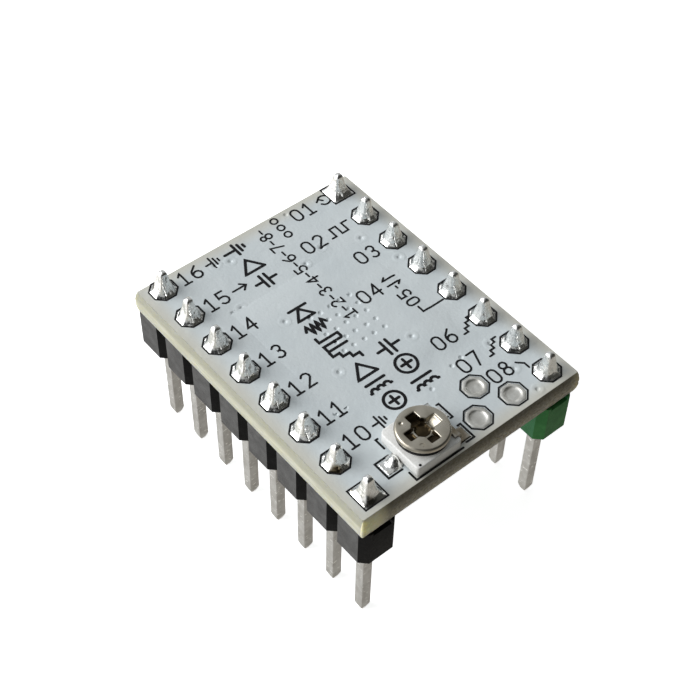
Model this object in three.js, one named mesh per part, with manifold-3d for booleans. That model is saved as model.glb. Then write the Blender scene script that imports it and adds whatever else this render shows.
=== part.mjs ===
// Stepper driver module: a small two-row circuit board that plugs into a socket.
// Millimetres, +Z up. The origin is on the plane of the pin tips, in the middle of the sixteen pins.
// +X runs along the pin rows, +Y across them, and the trimmer is on the top side.
import * as THREE from 'three';
import { mergeVertices } from 'three/addons/utils/BufferGeometryUtils.js';
import Module from 'manifold-3d';

const wasm = await Module();
wasm.setup();

// ---- Driving dimensions ----------------------------------------------------

const PITCH = 2.54; // pin to pin along a row
const PINS_PER_ROW = 8;
const ROW_SPACING = 12.7; // row to row

const PIN_SIZE = 0.64; // square pin
const PIN_BELOW = 6.8; // pin length under its housing
const PIN_ABOVE = 1.15; // pin length over the board, inside its solder
const PIN_TIP = 0.32; // width left at each tapered end
const PIN_TAPER = 0.5;

const HOUSING_DEPTH = 2.5;
const HOUSING_HEIGHT = 2.7;
const HOUSING_CHAMFER = 0.45;

const BOARD_LENGTH = 20.0;
const BOARD_WIDTH = 15.5;
const BOARD_X = 0.16; // the board is snapped off a little nearer its first pins
const BOARD_THICKNESS = 1.6;
const SCORE_DEPTH = 0.55; // the scored bevel along each edge, from either face
const SCORE_INSET = 0.13;
const HOLE_RADIUS = 0.5; // plated pin holes

const HEAT_PAD_SIZE = 9.0; // raised copper area that takes a stick-on heat sink
const HEAT_PAD_HEIGHT = 0.035;
const DRIVER_X = -0.53; // the driver chip and the heat pad share this centre
const DRIVER_Y = 0.03;

const SOLDER_HEIGHT = 1.5; // solder cone over the board
// Radius of the cone at each height over the board.
const SOLDER_PROFILE = [
  [0.74, 0], [0.62, 0.14], [0.52, 0.42], [0.475, 0.66], [0.36, 1.0], [0.28, 1.25], [0.18, 1.45],
];
const ROUND_SIDES = 12;

const SPARE_PADS = [
  [7.25, 2.54],
  [8.89, 3.81],
  [8.89, 1.27],
];
const SPARE_PLUG_SINK = 0.12; // the plug's face lies this far below the board's top

const TRIM_X = 8.27;
const TRIM_Y = -2.3;
const TRIM_AXIS_Y = 0.11; // the rotor's axis lies this far behind the ceramic's middle
const TRIM_LENGTH = 3.1; // ceramic base along X
const TRIM_WIDTH = 3.05;
const TRIM_METAL = 0.12; // sheet of the terminals
const TRIM_BASE_TOP = 0.8;
const TRIM_TRACK = 0.03;
const TRIM_TERMINAL_WIDTH = 0.9;
const TRIM_TERMINAL_OFFSET = 0.83;
const TRIM_CORNER = 0.25; // radius of the ceramic's corners
const TRIM_TAB = 0.45; // the front terminal shows this far in front of the ceramic
const TRIM_TAB_REACH = 0.6; // and ends this far behind its middle
const TRIM_FOOT = 0.35; // an end terminal's foot shows this far behind its riser
const TRIM_TUCK = 0.5; // its sheet runs this far under the ceramic
const TRIM_LIP = 0.3; // its lip covers this much of the ceramic's top
const TRIM_FIT = 0.01; // gap between ceramic and riser
const RIVET_RADIUS = 0.28;
const RIVET_CLEARANCE = 0.05;
const TRACK_INNER = 0.82;
const TRACK_OUTER = 1.34;
const TRACK_GAP = 40; // degrees from straight back to either end of the track
const ROTOR_BOTTOM = 0.98;
const ROTOR_PLATE_BOTTOM = 1.16;
const ROTOR_TOP = 1.42;
const ROTOR_EDGE = 0.06; // bevel round the rotor's top
const ROTOR_RADIUS = 1.5;
const ROTOR_SKIRT_RADIUS = 1.15;
const SLOT_LENGTH = 2.1; // the cross recess, tip to tip
const SLOT_WIDTH = 0.62;
const SLOT_HUB_RADIUS = 0.58;
const SLOT_FLOOR = 1.08;
const WIPER_RADIUS = 1.1;
const WIPER_METAL = 0.1;
const WIPER_FOOT_HALF = 0.12; // half the width of the contact foot
const WIPER_FOOT_REACH = [0.9, 1.08]; // its near and far side from the axis
const WIPER_FOOT_GAP = 0.03; // over the track
const WIPER_FOOT_OVERLAP = 0.05; // into the ring

const CHIP_SIZE = 5.0;
const CHIP_HEIGHT = 0.85;
const CHIP_PAD_SIZE = 3.3;
const CHIP_PAD_HEIGHT = 0.05;

// ---- Heights worked out from them -------------------------------------------

const housingBottom = PIN_BELOW;
const boardBottom = housingBottom + HOUSING_HEIGHT;
const boardTop = boardBottom + BOARD_THICKNESS;
const pinTop = boardTop + PIN_ABOVE;

// ---- Materials --------------------------------------------------------------

const finishes = {
  solder_mask: [0xc2cacc, 0.45, 0.0],
  black_plastic: [0x1c1c1e, 0.5, 0.0],
  green_plastic: [0x1f6b3c, 0.5, 0.0],
  tin_plate: [0xb9b6ae, 0.4, 1.0],
  solder: [0xcfd0cf, 0.2, 1.0],
  ceramic: [0xeeeeea, 0.5, 0.0],
  nickel: [0x9a9488, 0.3, 1.0],
  black_film: [0x1a1a1a, 0.6, 0.0],
  chip_epoxy: [0x202022, 0.6, 0.0],
  capacitor_ceramic: [0xa98a66, 0.5, 0.0],
  resistor_black: [0x232325, 0.5, 0.0],
};

function material(finish) {
  const [color, roughness, metalness] = finishes[finish];
  return new THREE.MeshStandardMaterial({ color, roughness, metalness });
}

const part = new THREE.Group();

function addPiece(name, geometry, finish, x = 0, y = 0, z = 0) {
  const mesh = new THREE.Mesh(geometry, material(finish));
  mesh.name = name;
  mesh.position.set(x, y, z);
  part.add(mesh);
  return mesh;
}

// ---- Boolean helpers --------------------------------------------------------

function toSolid(geometry) {
  const plain = geometry.clone();
  plain.deleteAttribute('normal');
  plain.deleteAttribute('uv');
  const merged = mergeVertices(plain, 1e-5);
  return new wasm.Manifold(new wasm.Mesh({
    numProp: 3,
    vertProperties: new Float32Array(merged.attributes.position.array),
    triVerts: new Uint32Array(merged.index.array),
  }));
}

function toGeometry(solid) {
  const mesh = solid.getMesh();
  const geometry = new THREE.BufferGeometry();
  geometry.setAttribute('position', new THREE.BufferAttribute(mesh.vertProperties, 3));
  geometry.setIndex(new THREE.BufferAttribute(mesh.triVerts, 1));
  geometry.computeVertexNormals();
  return geometry;
}

function subtract(geometry, tools) {
  return toGeometry(tools.reduce((solid, tool) => solid.subtract(toSolid(tool)), toSolid(geometry)));
}

function join(geometries) {
  return toGeometry(geometries.map(toSolid).reduce((a, b) => a.add(b)));
}

// ---- Shape helpers ----------------------------------------------------------

// A box given by its lowest and highest corners.
function block([x0, y0, z0], [x1, y1, z1]) {
  const geometry = new THREE.BoxGeometry(x1 - x0, y1 - y0, z1 - z0);
  return geometry.translate((x0 + x1) / 2, (y0 + y1) / 2, (z0 + z1) / 2);
}

// A solid of revolution about Z from [radius, z] points, listed from the bottom up.
// Half a side's turn puts a corner of the polygon at 45 degrees, where a square pin's corner is.
function turned(profile, sides = ROUND_SIDES) {
  const points = profile.map(([r, z]) => new THREE.Vector2(r, z));
  return new THREE.LatheGeometry(points, sides, Math.PI / sides).rotateX(Math.PI / 2);
}

function rod(radius, z0, z1, sides = ROUND_SIDES) {
  return turned([[0, z0], [radius, z0], [radius, z1], [0, z1]], sides);
}

function washer(inner, outer, z0, z1, sides) {
  return turned([[inner, z0], [outer, z0], [outer, z1], [inner, z1], [inner, z0]], sides);
}

function polygon(points) {
  return new THREE.Shape(points.map(([x, y]) => new THREE.Vector2(x, y)));
}

function upright(shape, z0, z1) {
  const geometry = new THREE.ExtrudeGeometry(shape, { depth: z1 - z0, bevelEnabled: false });
  return geometry.translate(0, 0, z0);
}

// An outline in Y and Z, given a width along X about x = 0.
function acrossX(points, width) {
  const shape = polygon(points);
  const geometry = new THREE.ExtrudeGeometry(shape, { depth: width, bevelEnabled: false });
  return geometry.translate(0, 0, -width / 2).rotateZ(Math.PI / 2).rotateY(Math.PI / 2);
}

function roundedRectangle(length, width, radius) {
  const [x, y] = [length / 2, width / 2];
  const shape = new THREE.Shape();
  shape.moveTo(-x + radius, -y);
  shape.absarc(x - radius, -y + radius, radius, -Math.PI / 2, 0);
  shape.absarc(x - radius, y - radius, radius, 0, Math.PI / 2);
  shape.absarc(-x + radius, y - radius, radius, Math.PI / 2, Math.PI);
  shape.absarc(-x + radius, -y + radius, radius, Math.PI, 1.5 * Math.PI);
  return shape;
}

// ---- Pin rows ---------------------------------------------------------------

const rows = [
  { name: 'front', y: -ROW_SPACING / 2, finish: 'black_plastic' },
  { name: 'back', y: ROW_SPACING / 2, finish: 'green_plastic' },
];
const pinX = Array.from({ length: PINS_PER_ROW }, (_, i) => (i - (PINS_PER_ROW - 1) / 2) * PITCH);
const pinPlaces = rows.flatMap((row) => pinX.map((x, i) => ({ x, y: row.y, label: `${row.name}_${i + 1}` })));

// A square bar about Z that tapers at both ends.
function squareBar(levels) {
  const corners = [[-1, -1], [1, -1], [1, 1], [-1, 1]];
  const positions = levels.flatMap(([half, z]) => corners.flatMap(([x, y]) => [x * half, y * half, z]));
  const index = [0, 2, 1, 0, 3, 2];
  for (let level = 0; level < levels.length - 1; level += 1) {
    for (let side = 0; side < 4; side += 1) {
      const a = level * 4 + side;
      const b = level * 4 + (side + 1) % 4;
      index.push(a, b, b + 4, a, b + 4, a + 4);
    }
  }
  const top = (levels.length - 1) * 4;
  index.push(top, top + 1, top + 2, top, top + 2, top + 3);
  const geometry = new THREE.BufferGeometry();
  geometry.setAttribute('position', new THREE.Float32BufferAttribute(positions, 3));
  geometry.setIndex(index);
  geometry.computeVertexNormals();
  return geometry;
}

function pinBar() {
  return squareBar([
    [PIN_TIP / 2, 0],
    [PIN_SIZE / 2, PIN_TAPER],
    [PIN_SIZE / 2, pinTop - PIN_TAPER],
    [PIN_TIP / 2, pinTop],
  ]);
}

// One solder joint: the filled hole and the cone that climbs the pin and caps it.
function solderJoint() {
  const cone = turned([
    [0, boardBottom],
    [HOLE_RADIUS, boardBottom],
    [HOLE_RADIUS, boardTop],
    ...SOLDER_PROFILE.map(([radius, height]) => [radius, boardTop + height]),
    [0, boardTop + SOLDER_HEIGHT],
  ]);
  return subtract(cone, [pinBar()]);
}

// The moulded strip: eight chamfered blocks that meet at V-shaped break notches.
function housing() {
  const depth = HOUSING_DEPTH / 2;
  const chamfer = HOUSING_CHAMFER;
  const side = pinX.flatMap((x) => [
    [x - PITCH / 2, depth - chamfer],
    [x - PITCH / 2 + chamfer, depth],
    [x + PITCH / 2 - chamfer, depth],
  ]);
  side.push([pinX.at(-1) + PITCH / 2, depth - chamfer]);
  const opposite = side.map(([x, y]) => [x, -y]);
  const strip = upright(polygon([...opposite, ...side.reverse()]), housingBottom, boardBottom);
  return subtract(strip, pinX.map((x) => pinBar().translate(x, 0, 0)));
}

for (const row of rows) {
  addPiece(`header_housing_${row.name}`, housing(), row.finish, 0, row.y);
}
for (const { x, y, label } of pinPlaces) {
  addPiece(`pin_${label}`, pinBar(), 'tin_plate', x, y);
  addPiece(`solder_joint_${label}`, solderJoint(), 'solder', x, y);
}

// ---- Circuit board ----------------------------------------------------------

function circuitBoard() {
  const half = { x: BOARD_LENGTH / 2, y: BOARD_WIDTH / 2 };
  const outline = polygon([[-half.x, -half.y], [half.x, -half.y], [half.x, half.y], [-half.x, half.y]]);
  const slab = new THREE.ExtrudeGeometry(outline, {
    depth: BOARD_THICKNESS - 2 * SCORE_DEPTH,
    bevelThickness: SCORE_DEPTH,
    bevelSize: SCORE_INSET,
    bevelOffset: -SCORE_INSET,
    bevelSegments: 1,
  }).translate(BOARD_X, 0, boardBottom + SCORE_DEPTH);
  const reach = HEAT_PAD_SIZE / 2;
  const heatPad = block(
    [DRIVER_X - reach, DRIVER_Y - reach, boardTop - SCORE_DEPTH],
    [DRIVER_X + reach, DRIVER_Y + reach, boardTop + HEAT_PAD_HEIGHT],
  );
  const places = [...pinPlaces.map(({ x, y }) => [x, y]), ...SPARE_PADS];
  const drills = places.map(([x, y]) => rod(HOLE_RADIUS, boardBottom - 1, boardTop + 1).translate(x, y, 0));
  return subtract(join([slab, heatPad]), drills);
}

addPiece('circuit_board', circuitBoard(), 'solder_mask');

SPARE_PADS.forEach(([x, y], i) => {
  const plug = rod(HOLE_RADIUS, boardBottom, boardTop - SPARE_PLUG_SINK);
  addPiece(`spare_hole_plug_${i + 1}`, plug, 'solder', x, y);
});

// ---- Trimmer ----------------------------------------------------------------

function addTrimmerPiece(name, geometry, finish) {
  addPiece(`trimmer_${name}`, geometry, finish, TRIM_X, TRIM_Y, boardTop);
}

function addOnAxis(name, geometry, finish) {
  addPiece(`trimmer_${name}`, geometry, finish, TRIM_X, TRIM_Y + TRIM_AXIS_Y, boardTop);
}

const rivetHole = RIVET_RADIUS + RIVET_CLEARANCE;
const trimmerEdge = TRIM_WIDTH / 2;

// The wiper's terminal runs from its solder tab to the rivet in the middle.
function wiperTerminal() {
  const half = TRIM_TERMINAL_WIDTH / 2;
  const strip = block([-half, -trimmerEdge - TRIM_TAB, 0], [half, TRIM_TAB_REACH, TRIM_METAL]);
  return subtract(strip, [rod(rivetHole, -1, 1).translate(0, TRIM_AXIS_Y, 0)]);
}

// An end terminal clips round the ceramic's edge and turns out into a solder foot.
function endTerminal(side) {
  const lip = trimmerEdge - TRIM_LIP;
  const inner = trimmerEdge + TRIM_FIT;
  const outer = inner + TRIM_METAL;
  const underneath = trimmerEdge - TRIM_TUCK;
  const clip = acrossX([
    [underneath, 0],
    [outer + TRIM_FOOT, 0],
    [outer + TRIM_FOOT, TRIM_METAL],
    [outer, TRIM_METAL],
    [outer, TRIM_BASE_TOP + TRIM_METAL],
    [lip, TRIM_BASE_TOP + TRIM_METAL],
    [lip, TRIM_BASE_TOP],
    [inner, TRIM_BASE_TOP],
    [inner, TRIM_METAL],
    [underneath, TRIM_METAL],
  ], TRIM_TERMINAL_WIDTH);
  return clip.translate(side * TRIM_TERMINAL_OFFSET, 0, 0);
}

function ceramicBase() {
  const outline = roundedRectangle(TRIM_LENGTH, TRIM_WIDTH, TRIM_CORNER);
  const plate = upright(outline, TRIM_METAL, TRIM_BASE_TOP);
  return subtract(plate, [rod(rivetHole, -1, 2).translate(0, TRIM_AXIS_Y, 0)]);
}

// The horseshoe of resistive film, open towards the two end terminals.
function resistiveTrack() {
  const gap = THREE.MathUtils.degToRad(TRACK_GAP);
  const [start, end] = [Math.PI / 2 + gap, 2.5 * Math.PI - gap];
  const shape = new THREE.Shape();
  shape.absarc(0, 0, TRACK_OUTER, start, end);
  shape.absarc(0, 0, TRACK_INNER, end, start, true);
  return upright(shape, TRIM_BASE_TOP, TRIM_BASE_TOP + TRIM_TRACK);
}

// The wiper ring turns with the rotor, and its foot runs on the track.
function wiper() {
  const ring = washer(rivetHole, WIPER_RADIUS, ROTOR_BOTTOM - WIPER_METAL, ROTOR_BOTTOM, 24);
  const [near, far] = WIPER_FOOT_REACH;
  const low = TRIM_BASE_TOP + TRIM_TRACK + WIPER_FOOT_GAP;
  const high = ROTOR_BOTTOM - WIPER_METAL + WIPER_FOOT_OVERLAP;
  const foot = block([-WIPER_FOOT_HALF, -far, low], [WIPER_FOOT_HALF, -near, high]);
  return join([ring, foot]);
}

function rotor() {
  const body = turned([
    [0, ROTOR_BOTTOM],
    [ROTOR_SKIRT_RADIUS, ROTOR_BOTTOM],
    [ROTOR_SKIRT_RADIUS, ROTOR_PLATE_BOTTOM],
    [ROTOR_RADIUS, ROTOR_PLATE_BOTTOM],
    [ROTOR_RADIUS, ROTOR_TOP - ROTOR_EDGE],
    [ROTOR_RADIUS - ROTOR_EDGE, ROTOR_TOP],
    [0, ROTOR_TOP],
  ], 40);
  const [length, width] = [SLOT_LENGTH / 2, SLOT_WIDTH / 2];
  const slots = [
    block([-length, -width, SLOT_FLOOR], [length, width, 2]),
    block([-width, -length, SLOT_FLOOR], [width, length, 2]),
    rod(SLOT_HUB_RADIUS, SLOT_FLOOR, 2, 24),
  ];
  return subtract(body, [...slots, rod(rivetHole, 0, 2)]);
}

addTrimmerPiece('wiper_terminal', wiperTerminal(), 'tin_plate');
addTrimmerPiece('end_terminal_left', endTerminal(-1), 'tin_plate');
addTrimmerPiece('end_terminal_right', endTerminal(1), 'tin_plate');
addTrimmerPiece('ceramic_base', ceramicBase(), 'ceramic');
addOnAxis('resistive_track', resistiveTrack(), 'black_film');
addOnAxis('rivet', rod(RIVET_RADIUS, 0, SLOT_FLOOR), 'nickel');
addOnAxis('wiper', wiper(), 'nickel');
addOnAxis('rotor', rotor(), 'nickel');

// ---- Parts under the board ---------------------------------------------------

// A chip part lies flat against the board's underside, centred at x, y.
function addUnderside(name, [length, width, height], finish, x, y, gap = 0) {
  const top = boardBottom - gap;
  const body = block([-length / 2, -width / 2, top - height], [length / 2, width / 2, top]);
  addPiece(name, body, finish, x, y);
}

const chipPad = [CHIP_PAD_SIZE, CHIP_PAD_SIZE, CHIP_PAD_HEIGHT];
const chipBody = [CHIP_SIZE, CHIP_SIZE, CHIP_HEIGHT];
addUnderside('driver_chip_pad', chipPad, 'tin_plate', DRIVER_X, DRIVER_Y);
addUnderside('driver_chip', chipBody, 'chip_epoxy', DRIVER_X, DRIVER_Y, CHIP_PAD_HEIGHT);

const SENSE_RESISTOR = [3.2, 1.6, 0.6];
const BULK_CAPACITOR = [3.2, 1.6, 1.2];
const SMALL_CAPACITOR = [1.6, 0.8, 0.8];
const SMALL_RESISTOR = [1.6, 0.8, 0.45];
const undersideParts = [
  ['sense_resistor_1', SENSE_RESISTOR, 'resistor_black', 4.9, -2.6],
  ['sense_resistor_2', SENSE_RESISTOR, 'resistor_black', 4.9, 2.6],
  ['bulk_capacitor_1', BULK_CAPACITOR, 'capacitor_ceramic', -6.4, -2.8],
  ['bulk_capacitor_2', BULK_CAPACITOR, 'capacitor_ceramic', -6.4, -0.6],
  ['charge_pump_capacitor', SMALL_CAPACITOR, 'capacitor_ceramic', -5.6, 1.6],
  ['supply_capacitor', SMALL_CAPACITOR, 'capacitor_ceramic', -5.6, 3.1],
  ['reference_capacitor', SMALL_CAPACITOR, 'capacitor_ceramic', 4.1, 0],
  ['mode_resistor_1', SMALL_RESISTOR, 'resistor_black', 7.6, -1.1],
  ['mode_resistor_2', SMALL_RESISTOR, 'resistor_black', 7.6, 0.4],
  ['reference_resistor', SMALL_RESISTOR, 'resistor_black', 7.0, -3.9],
];
for (const [name, size, finish, x, y] of undersideParts) {
  addUnderside(name, size, finish, x, y);
}

export default part;
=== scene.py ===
"""The looks of a stepper driver module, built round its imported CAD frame.

Lengths here are millimetres in the row frame: the origin is on the plane of the pin tips, in the
middle of the sixteen pins, +X runs along the pin rows and +Z is up. Meshes are scaled to metres
when their objects are made.
"""
import math
import random

import bmesh
import bpy
from mathutils import Matrix, Vector, noise
from mathutils.geometry import delaunay_2d_cdt


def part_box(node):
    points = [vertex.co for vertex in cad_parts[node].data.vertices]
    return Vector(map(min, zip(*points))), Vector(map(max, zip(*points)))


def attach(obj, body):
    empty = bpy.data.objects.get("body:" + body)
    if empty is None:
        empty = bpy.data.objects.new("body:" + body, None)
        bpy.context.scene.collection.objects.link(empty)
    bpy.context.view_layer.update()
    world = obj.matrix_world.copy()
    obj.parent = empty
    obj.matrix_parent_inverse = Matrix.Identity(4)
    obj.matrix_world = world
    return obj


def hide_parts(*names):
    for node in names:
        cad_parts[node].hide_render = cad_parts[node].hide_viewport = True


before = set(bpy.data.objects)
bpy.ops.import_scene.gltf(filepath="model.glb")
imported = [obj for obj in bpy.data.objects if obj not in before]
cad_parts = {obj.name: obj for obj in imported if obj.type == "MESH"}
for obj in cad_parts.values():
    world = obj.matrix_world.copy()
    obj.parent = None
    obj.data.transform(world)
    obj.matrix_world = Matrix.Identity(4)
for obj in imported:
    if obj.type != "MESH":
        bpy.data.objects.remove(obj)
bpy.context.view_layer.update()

MM = 0.001

# ---- Places taken from the frame ------------------------------------------------------------


def span(node):
    low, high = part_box(node)
    return low / MM, high / MM


def middle(node):
    low, high = span(node)
    return (low + high) / 2


ROWS = ("front", "back")
NUMBERS = range(1, 9)
PIN_NAMES = [f"{row}_{number}" for row in ROWS for number in NUMBERS]
SQUARE_PADS = ("front_8", "back_1")

BOARD_LOW, BOARD_HIGH = span("circuit_board")
BOARD_TOP = span("trimmer_rivet")[0].z
BOARD_BOTTOM = BOARD_LOW.z
HEAT_PAD_RISE = BOARD_HIGH.z - BOARD_TOP
BOARD = middle("circuit_board")
HALF_LENGTH = BOARD_HIGH.x - BOARD.x
HALF_WIDTH = BOARD_HIGH.y - BOARD.y
CHIP = middle("driver_chip")
TRIMMER = middle("trimmer_rivet")
TRIMMER_BASE = middle("trimmer_ceramic_base")
SPARE_PADS = [middle(f"spare_hole_plug_{i}") for i in (1, 2, 3)]
PIN_PLACES = {name: middle(f"pin_{name}") for name in PIN_NAMES}
PITCH = PIN_PLACES["front_2"].x - PIN_PLACES["front_1"].x
SOLDER_TOP = span("solder_joint_front_1")[1].z

# ---- Mesh building --------------------------------------------------------------------------


class Form:
    """Points and faces of one mesh. Rings run counter-clockwise seen from above."""

    def __init__(self):
        self.points = []
        self.faces = []
        self.paints = []

    def ring(self, points):
        start = len(self.points)
        self.points += [tuple(point) for point in points]
        return list(range(start, len(self.points)))

    def face(self, corners):
        self.faces.append(tuple(corners))
        self.paints.append(0)

    def wall(self, lower, upper, closed=True):
        count = len(lower)
        for i in range(count if closed else count - 1):
            j = (i + 1) % count
            self.face((lower[i], lower[j], upper[j], upper[i]))

    def loft(self, rings):
        made = [self.ring(points) for points in rings]
        for lower, upper in zip(made, made[1:]):
            self.wall(lower, upper)
        return made

    def closed_loft(self, rings):
        made = self.loft(rings)
        self.face(reversed(made[0]))
        self.face(made[-1])

    def fan(self, ring, point):
        tip = self.ring([point])[0]
        for i, corner in enumerate(ring):
            self.face((corner, ring[(i + 1) % len(ring)], tip))

    def repaint(self, choose):
        """Chooses each face's finish from its direction."""
        for i, face in enumerate(self.faces):
            corners = [Vector(self.points[corner]) for corner in face[:3]]
            normal = (corners[1] - corners[0]).cross(corners[2] - corners[1]).normalized()
            self.paints[i] = choose(normal)

    def turned_over(self):
        """The same form mirrored to the board's underside."""
        self.points = [(x, y, BOARD_TOP + BOARD_BOTTOM - z) for x, y, z in self.points]
        self.faces = [tuple(reversed(face)) for face in self.faces]
        return self

    def add(self, other):
        start = len(self.points)
        self.points += other.points
        self.faces += [tuple(start + i for i in face) for face in other.faces]
        self.paints += other.paints


def to_piece(name, form, finishes, stands_for=(), body="board", sharp=40, bevel=0.0, weld=False):
    """Makes the object of a form, smooth up to the sharp angle, and ties it to its CAD body."""
    mesh = bpy.data.meshes.new(name)
    mesh.from_pydata([[c * MM for c in point] for point in form.points], [], form.faces)
    for finish in finishes:
        mesh.materials.append(finish)
    mesh.polygons.foreach_set("material_index", form.paints)
    if weld:
        fused = bmesh.new()
        fused.from_mesh(mesh)
        bmesh.ops.remove_doubles(fused, verts=fused.verts, dist=1e-4 * MM)
        fused.to_mesh(mesh)
        fused.free()
    mesh.polygons.foreach_set("use_smooth", [True] * len(mesh.polygons))
    mesh.set_sharp_from_angle(angle=math.radians(sharp))
    piece = bpy.data.objects.new(name, mesh)
    bpy.context.scene.collection.objects.link(piece)
    if bevel:
        rounding = piece.modifiers.new("rounding", "BEVEL")
        rounding.width = bevel * MM
        rounding.segments = 3
        rounding.limit_method = "ANGLE"
        rounding.harden_normals = True
    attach(piece, body)
    if stands_for:
        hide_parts(*stands_for)
    return piece


def at_height(outline, z):
    return [(x, y, z) for x, y in outline]


def circle(radius, sides, x=0.0, y=0.0):
    turns = [2 * math.pi * i / sides for i in range(sides)]
    return [(x + radius * math.cos(t), y + radius * math.sin(t)) for t in turns]


def arc(x, y, radius, start, end, steps):
    """Points on a round stretch, with angles in degrees."""
    turns = [math.radians(start + (end - start) * i / steps) for i in range(steps + 1)]
    return [(x + radius * math.cos(t), y + radius * math.sin(t)) for t in turns]


def rounded_rectangle(half_x, half_y, radius, steps=4, x=0.0, y=0.0):
    corners = [(1, 1, 0), (-1, 1, 90), (-1, -1, 180), (1, -1, 270)]
    outline = []
    for side_x, side_y, start in corners:
        centre_x = x + side_x * (half_x - radius)
        centre_y = y + side_y * (half_y - radius)
        outline += arc(centre_x, centre_y, radius, start, start + 90, steps)
    return outline


def octagon(inner_radius, x=0.0, y=0.0):
    reach = inner_radius / math.cos(math.pi / 8)
    turns = [math.pi / 8 + math.pi / 4 * i for i in range(8)]
    return [(x + reach * math.cos(t), y + reach * math.sin(t)) for t in turns]


def smooth_step(value, low, high):
    t = min(1.0, max(0.0, (value - low) / (high - low)))
    return t * t * (3 - 2 * t)


def between(value, table):
    """Straight-line interpolation in a table of (position, value) pairs."""
    for (x0, y0), (x1, y1) in zip(table, table[1:]):
        if value <= x1:
            return y0 + (y1 - y0) * (value - x0) / (x1 - x0)
    return table[-1][1]


def quarter_round(size, steps):
    """Distance below the end and inset from the side, at each step round an edge."""
    turns = [math.pi / 2 * i / steps for i in range(steps + 1)]
    return [(size * (1 - math.sin(t)), size * (1 - math.cos(t))) for t in turns]


def rounded_block(low, high, radius, edge, steps=3):
    """A block with round upright corners and rounded top and bottom edges."""
    x, y = (low[0] + high[0]) / 2, (low[1] + high[1]) / 2
    half_x, half_y = (high[0] - low[0]) / 2, (high[1] - low[1]) / 2
    round_edge = quarter_round(edge, steps)
    levels = [(low[2] + off, inset) for off, inset in reversed(round_edge)]
    levels += [(high[2] - off, inset) for off, inset in round_edge]
    rings = []
    for z, inset in levels:
        corner = max(radius - inset, 0.02)
        outline = rounded_rectangle(half_x - inset, half_y - inset, corner, 4, x, y)
        rings.append(at_height(outline, z))
    form = Form()
    form.closed_loft(rings)
    return form


# ---- Materials ------------------------------------------------------------------------------


class Shading:
    """The nodes of a material or of the room, and the patterns that they make."""

    def __init__(self, tree):
        self.nodes = tree.nodes
        self.links = tree.links

    def fill(self, socket, value):
        """Links a socket to another one, or gives it a plain value."""
        if isinstance(value, bpy.types.NodeSocket):
            self.links.new(value, socket)
        elif isinstance(value, tuple) and len(socket.default_value) == 4:
            socket.default_value = (*value, 1.0)
        else:
            socket.default_value = value

    def math(self, operation, first, second=0.0):
        node = self.nodes.new("ShaderNodeMath")
        node.operation = operation
        self.fill(node.inputs[0], first)
        self.fill(node.inputs[1], second)
        return node.outputs[0]

    def vector(self, operation, first, second, output="Vector"):
        node = self.nodes.new("ShaderNodeVectorMath")
        node.operation = operation
        self.fill(node.inputs[0], first)
        self.fill(node.inputs["Scale" if operation == "SCALE" else 1], second)
        return node.outputs[output]

    def fade(self, value, low, high, out_low=0.0, out_high=1.0, curve="SMOOTHSTEP"):
        """Change of a value from low to high, given as out_low to out_high."""
        node = self.nodes.new("ShaderNodeMapRange")
        node.interpolation_type = curve
        self.fill(node.inputs["Value"], value)
        node.inputs["From Min"].default_value = low
        node.inputs["From Max"].default_value = high
        node.inputs["To Min"].default_value = out_low
        node.inputs["To Max"].default_value = out_high
        return node.outputs["Result"]

    def mix(self, factor, first, second):
        node = self.nodes.new("ShaderNodeMixRGB")
        self.fill(node.inputs["Fac"], factor)
        self.fill(node.inputs["Color1"], first)
        self.fill(node.inputs["Color2"], second)
        return node.outputs["Color"]

    def blend(self, value, low, high, first, second):
        """The colour that goes from first to second while a value goes from low to high."""
        return self.mix(self.fade(value, low, high), first, second)


class Finish(Shading):
    """A node material on one Principled shader. Patterns run in millimetres of the row frame."""

    def __init__(self, name, colour, roughness, metallic=0.0, specular=0.5):
        self.material = bpy.data.materials.new(name)
        self.material.use_nodes = True
        super().__init__(self.material.node_tree)
        self.shader = self.nodes["Principled BSDF"]
        self.set("Base Color", colour)
        self.set("Roughness", roughness)
        self.set("Metallic", metallic)
        self.set("Specular IOR Level", specular)
        self.place = self.nodes.new("ShaderNodeTexCoord").outputs["Object"]

    def set(self, socket, value):
        self.fill(self.shader.inputs[socket], value)

    def tint(self, value, low, high, first, second):
        self.set("Base Color", self.blend(value, low, high, first, second))

    def stretched(self, stretch=(1, 1, 1)):
        """Object coordinates in millimetres, each axis multiplied by its stretch."""
        return self.vector("MULTIPLY", self.place, [s / MM for s in stretch])

    def noise(self, per_mm, detail=3.0, stretch=(1, 1, 1)):
        node = self.nodes.new("ShaderNodeTexNoise")
        self.links.new(self.stretched(stretch), node.inputs["Vector"])
        node.inputs["Scale"].default_value = per_mm
        node.inputs["Detail"].default_value = detail
        return node.outputs["Fac"]

    def axis(self, index):
        """One coordinate of the row frame, in millimetres."""
        node = self.nodes.new("ShaderNodeSeparateXYZ")
        self.links.new(self.stretched(), node.inputs[0])
        return node.outputs[index]

    def distance(self, point):
        """Distance from a point of the row frame, in millimetres."""
        return self.vector("DISTANCE", self.stretched(), tuple(point), "Value")

    def bump(self, *layers):
        """Layers are (height socket, depth in millimetres)."""
        normal = None
        for height, depth in layers:
            node = self.nodes.new("ShaderNodeBump")
            node.inputs["Distance"].default_value = depth * MM
            self.links.new(height, node.inputs["Height"])
            if normal is not None:
                self.links.new(normal, node.inputs["Normal"])
            normal = node.outputs["Normal"]
        self.links.new(normal, self.shader.inputs["Normal"])


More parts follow.
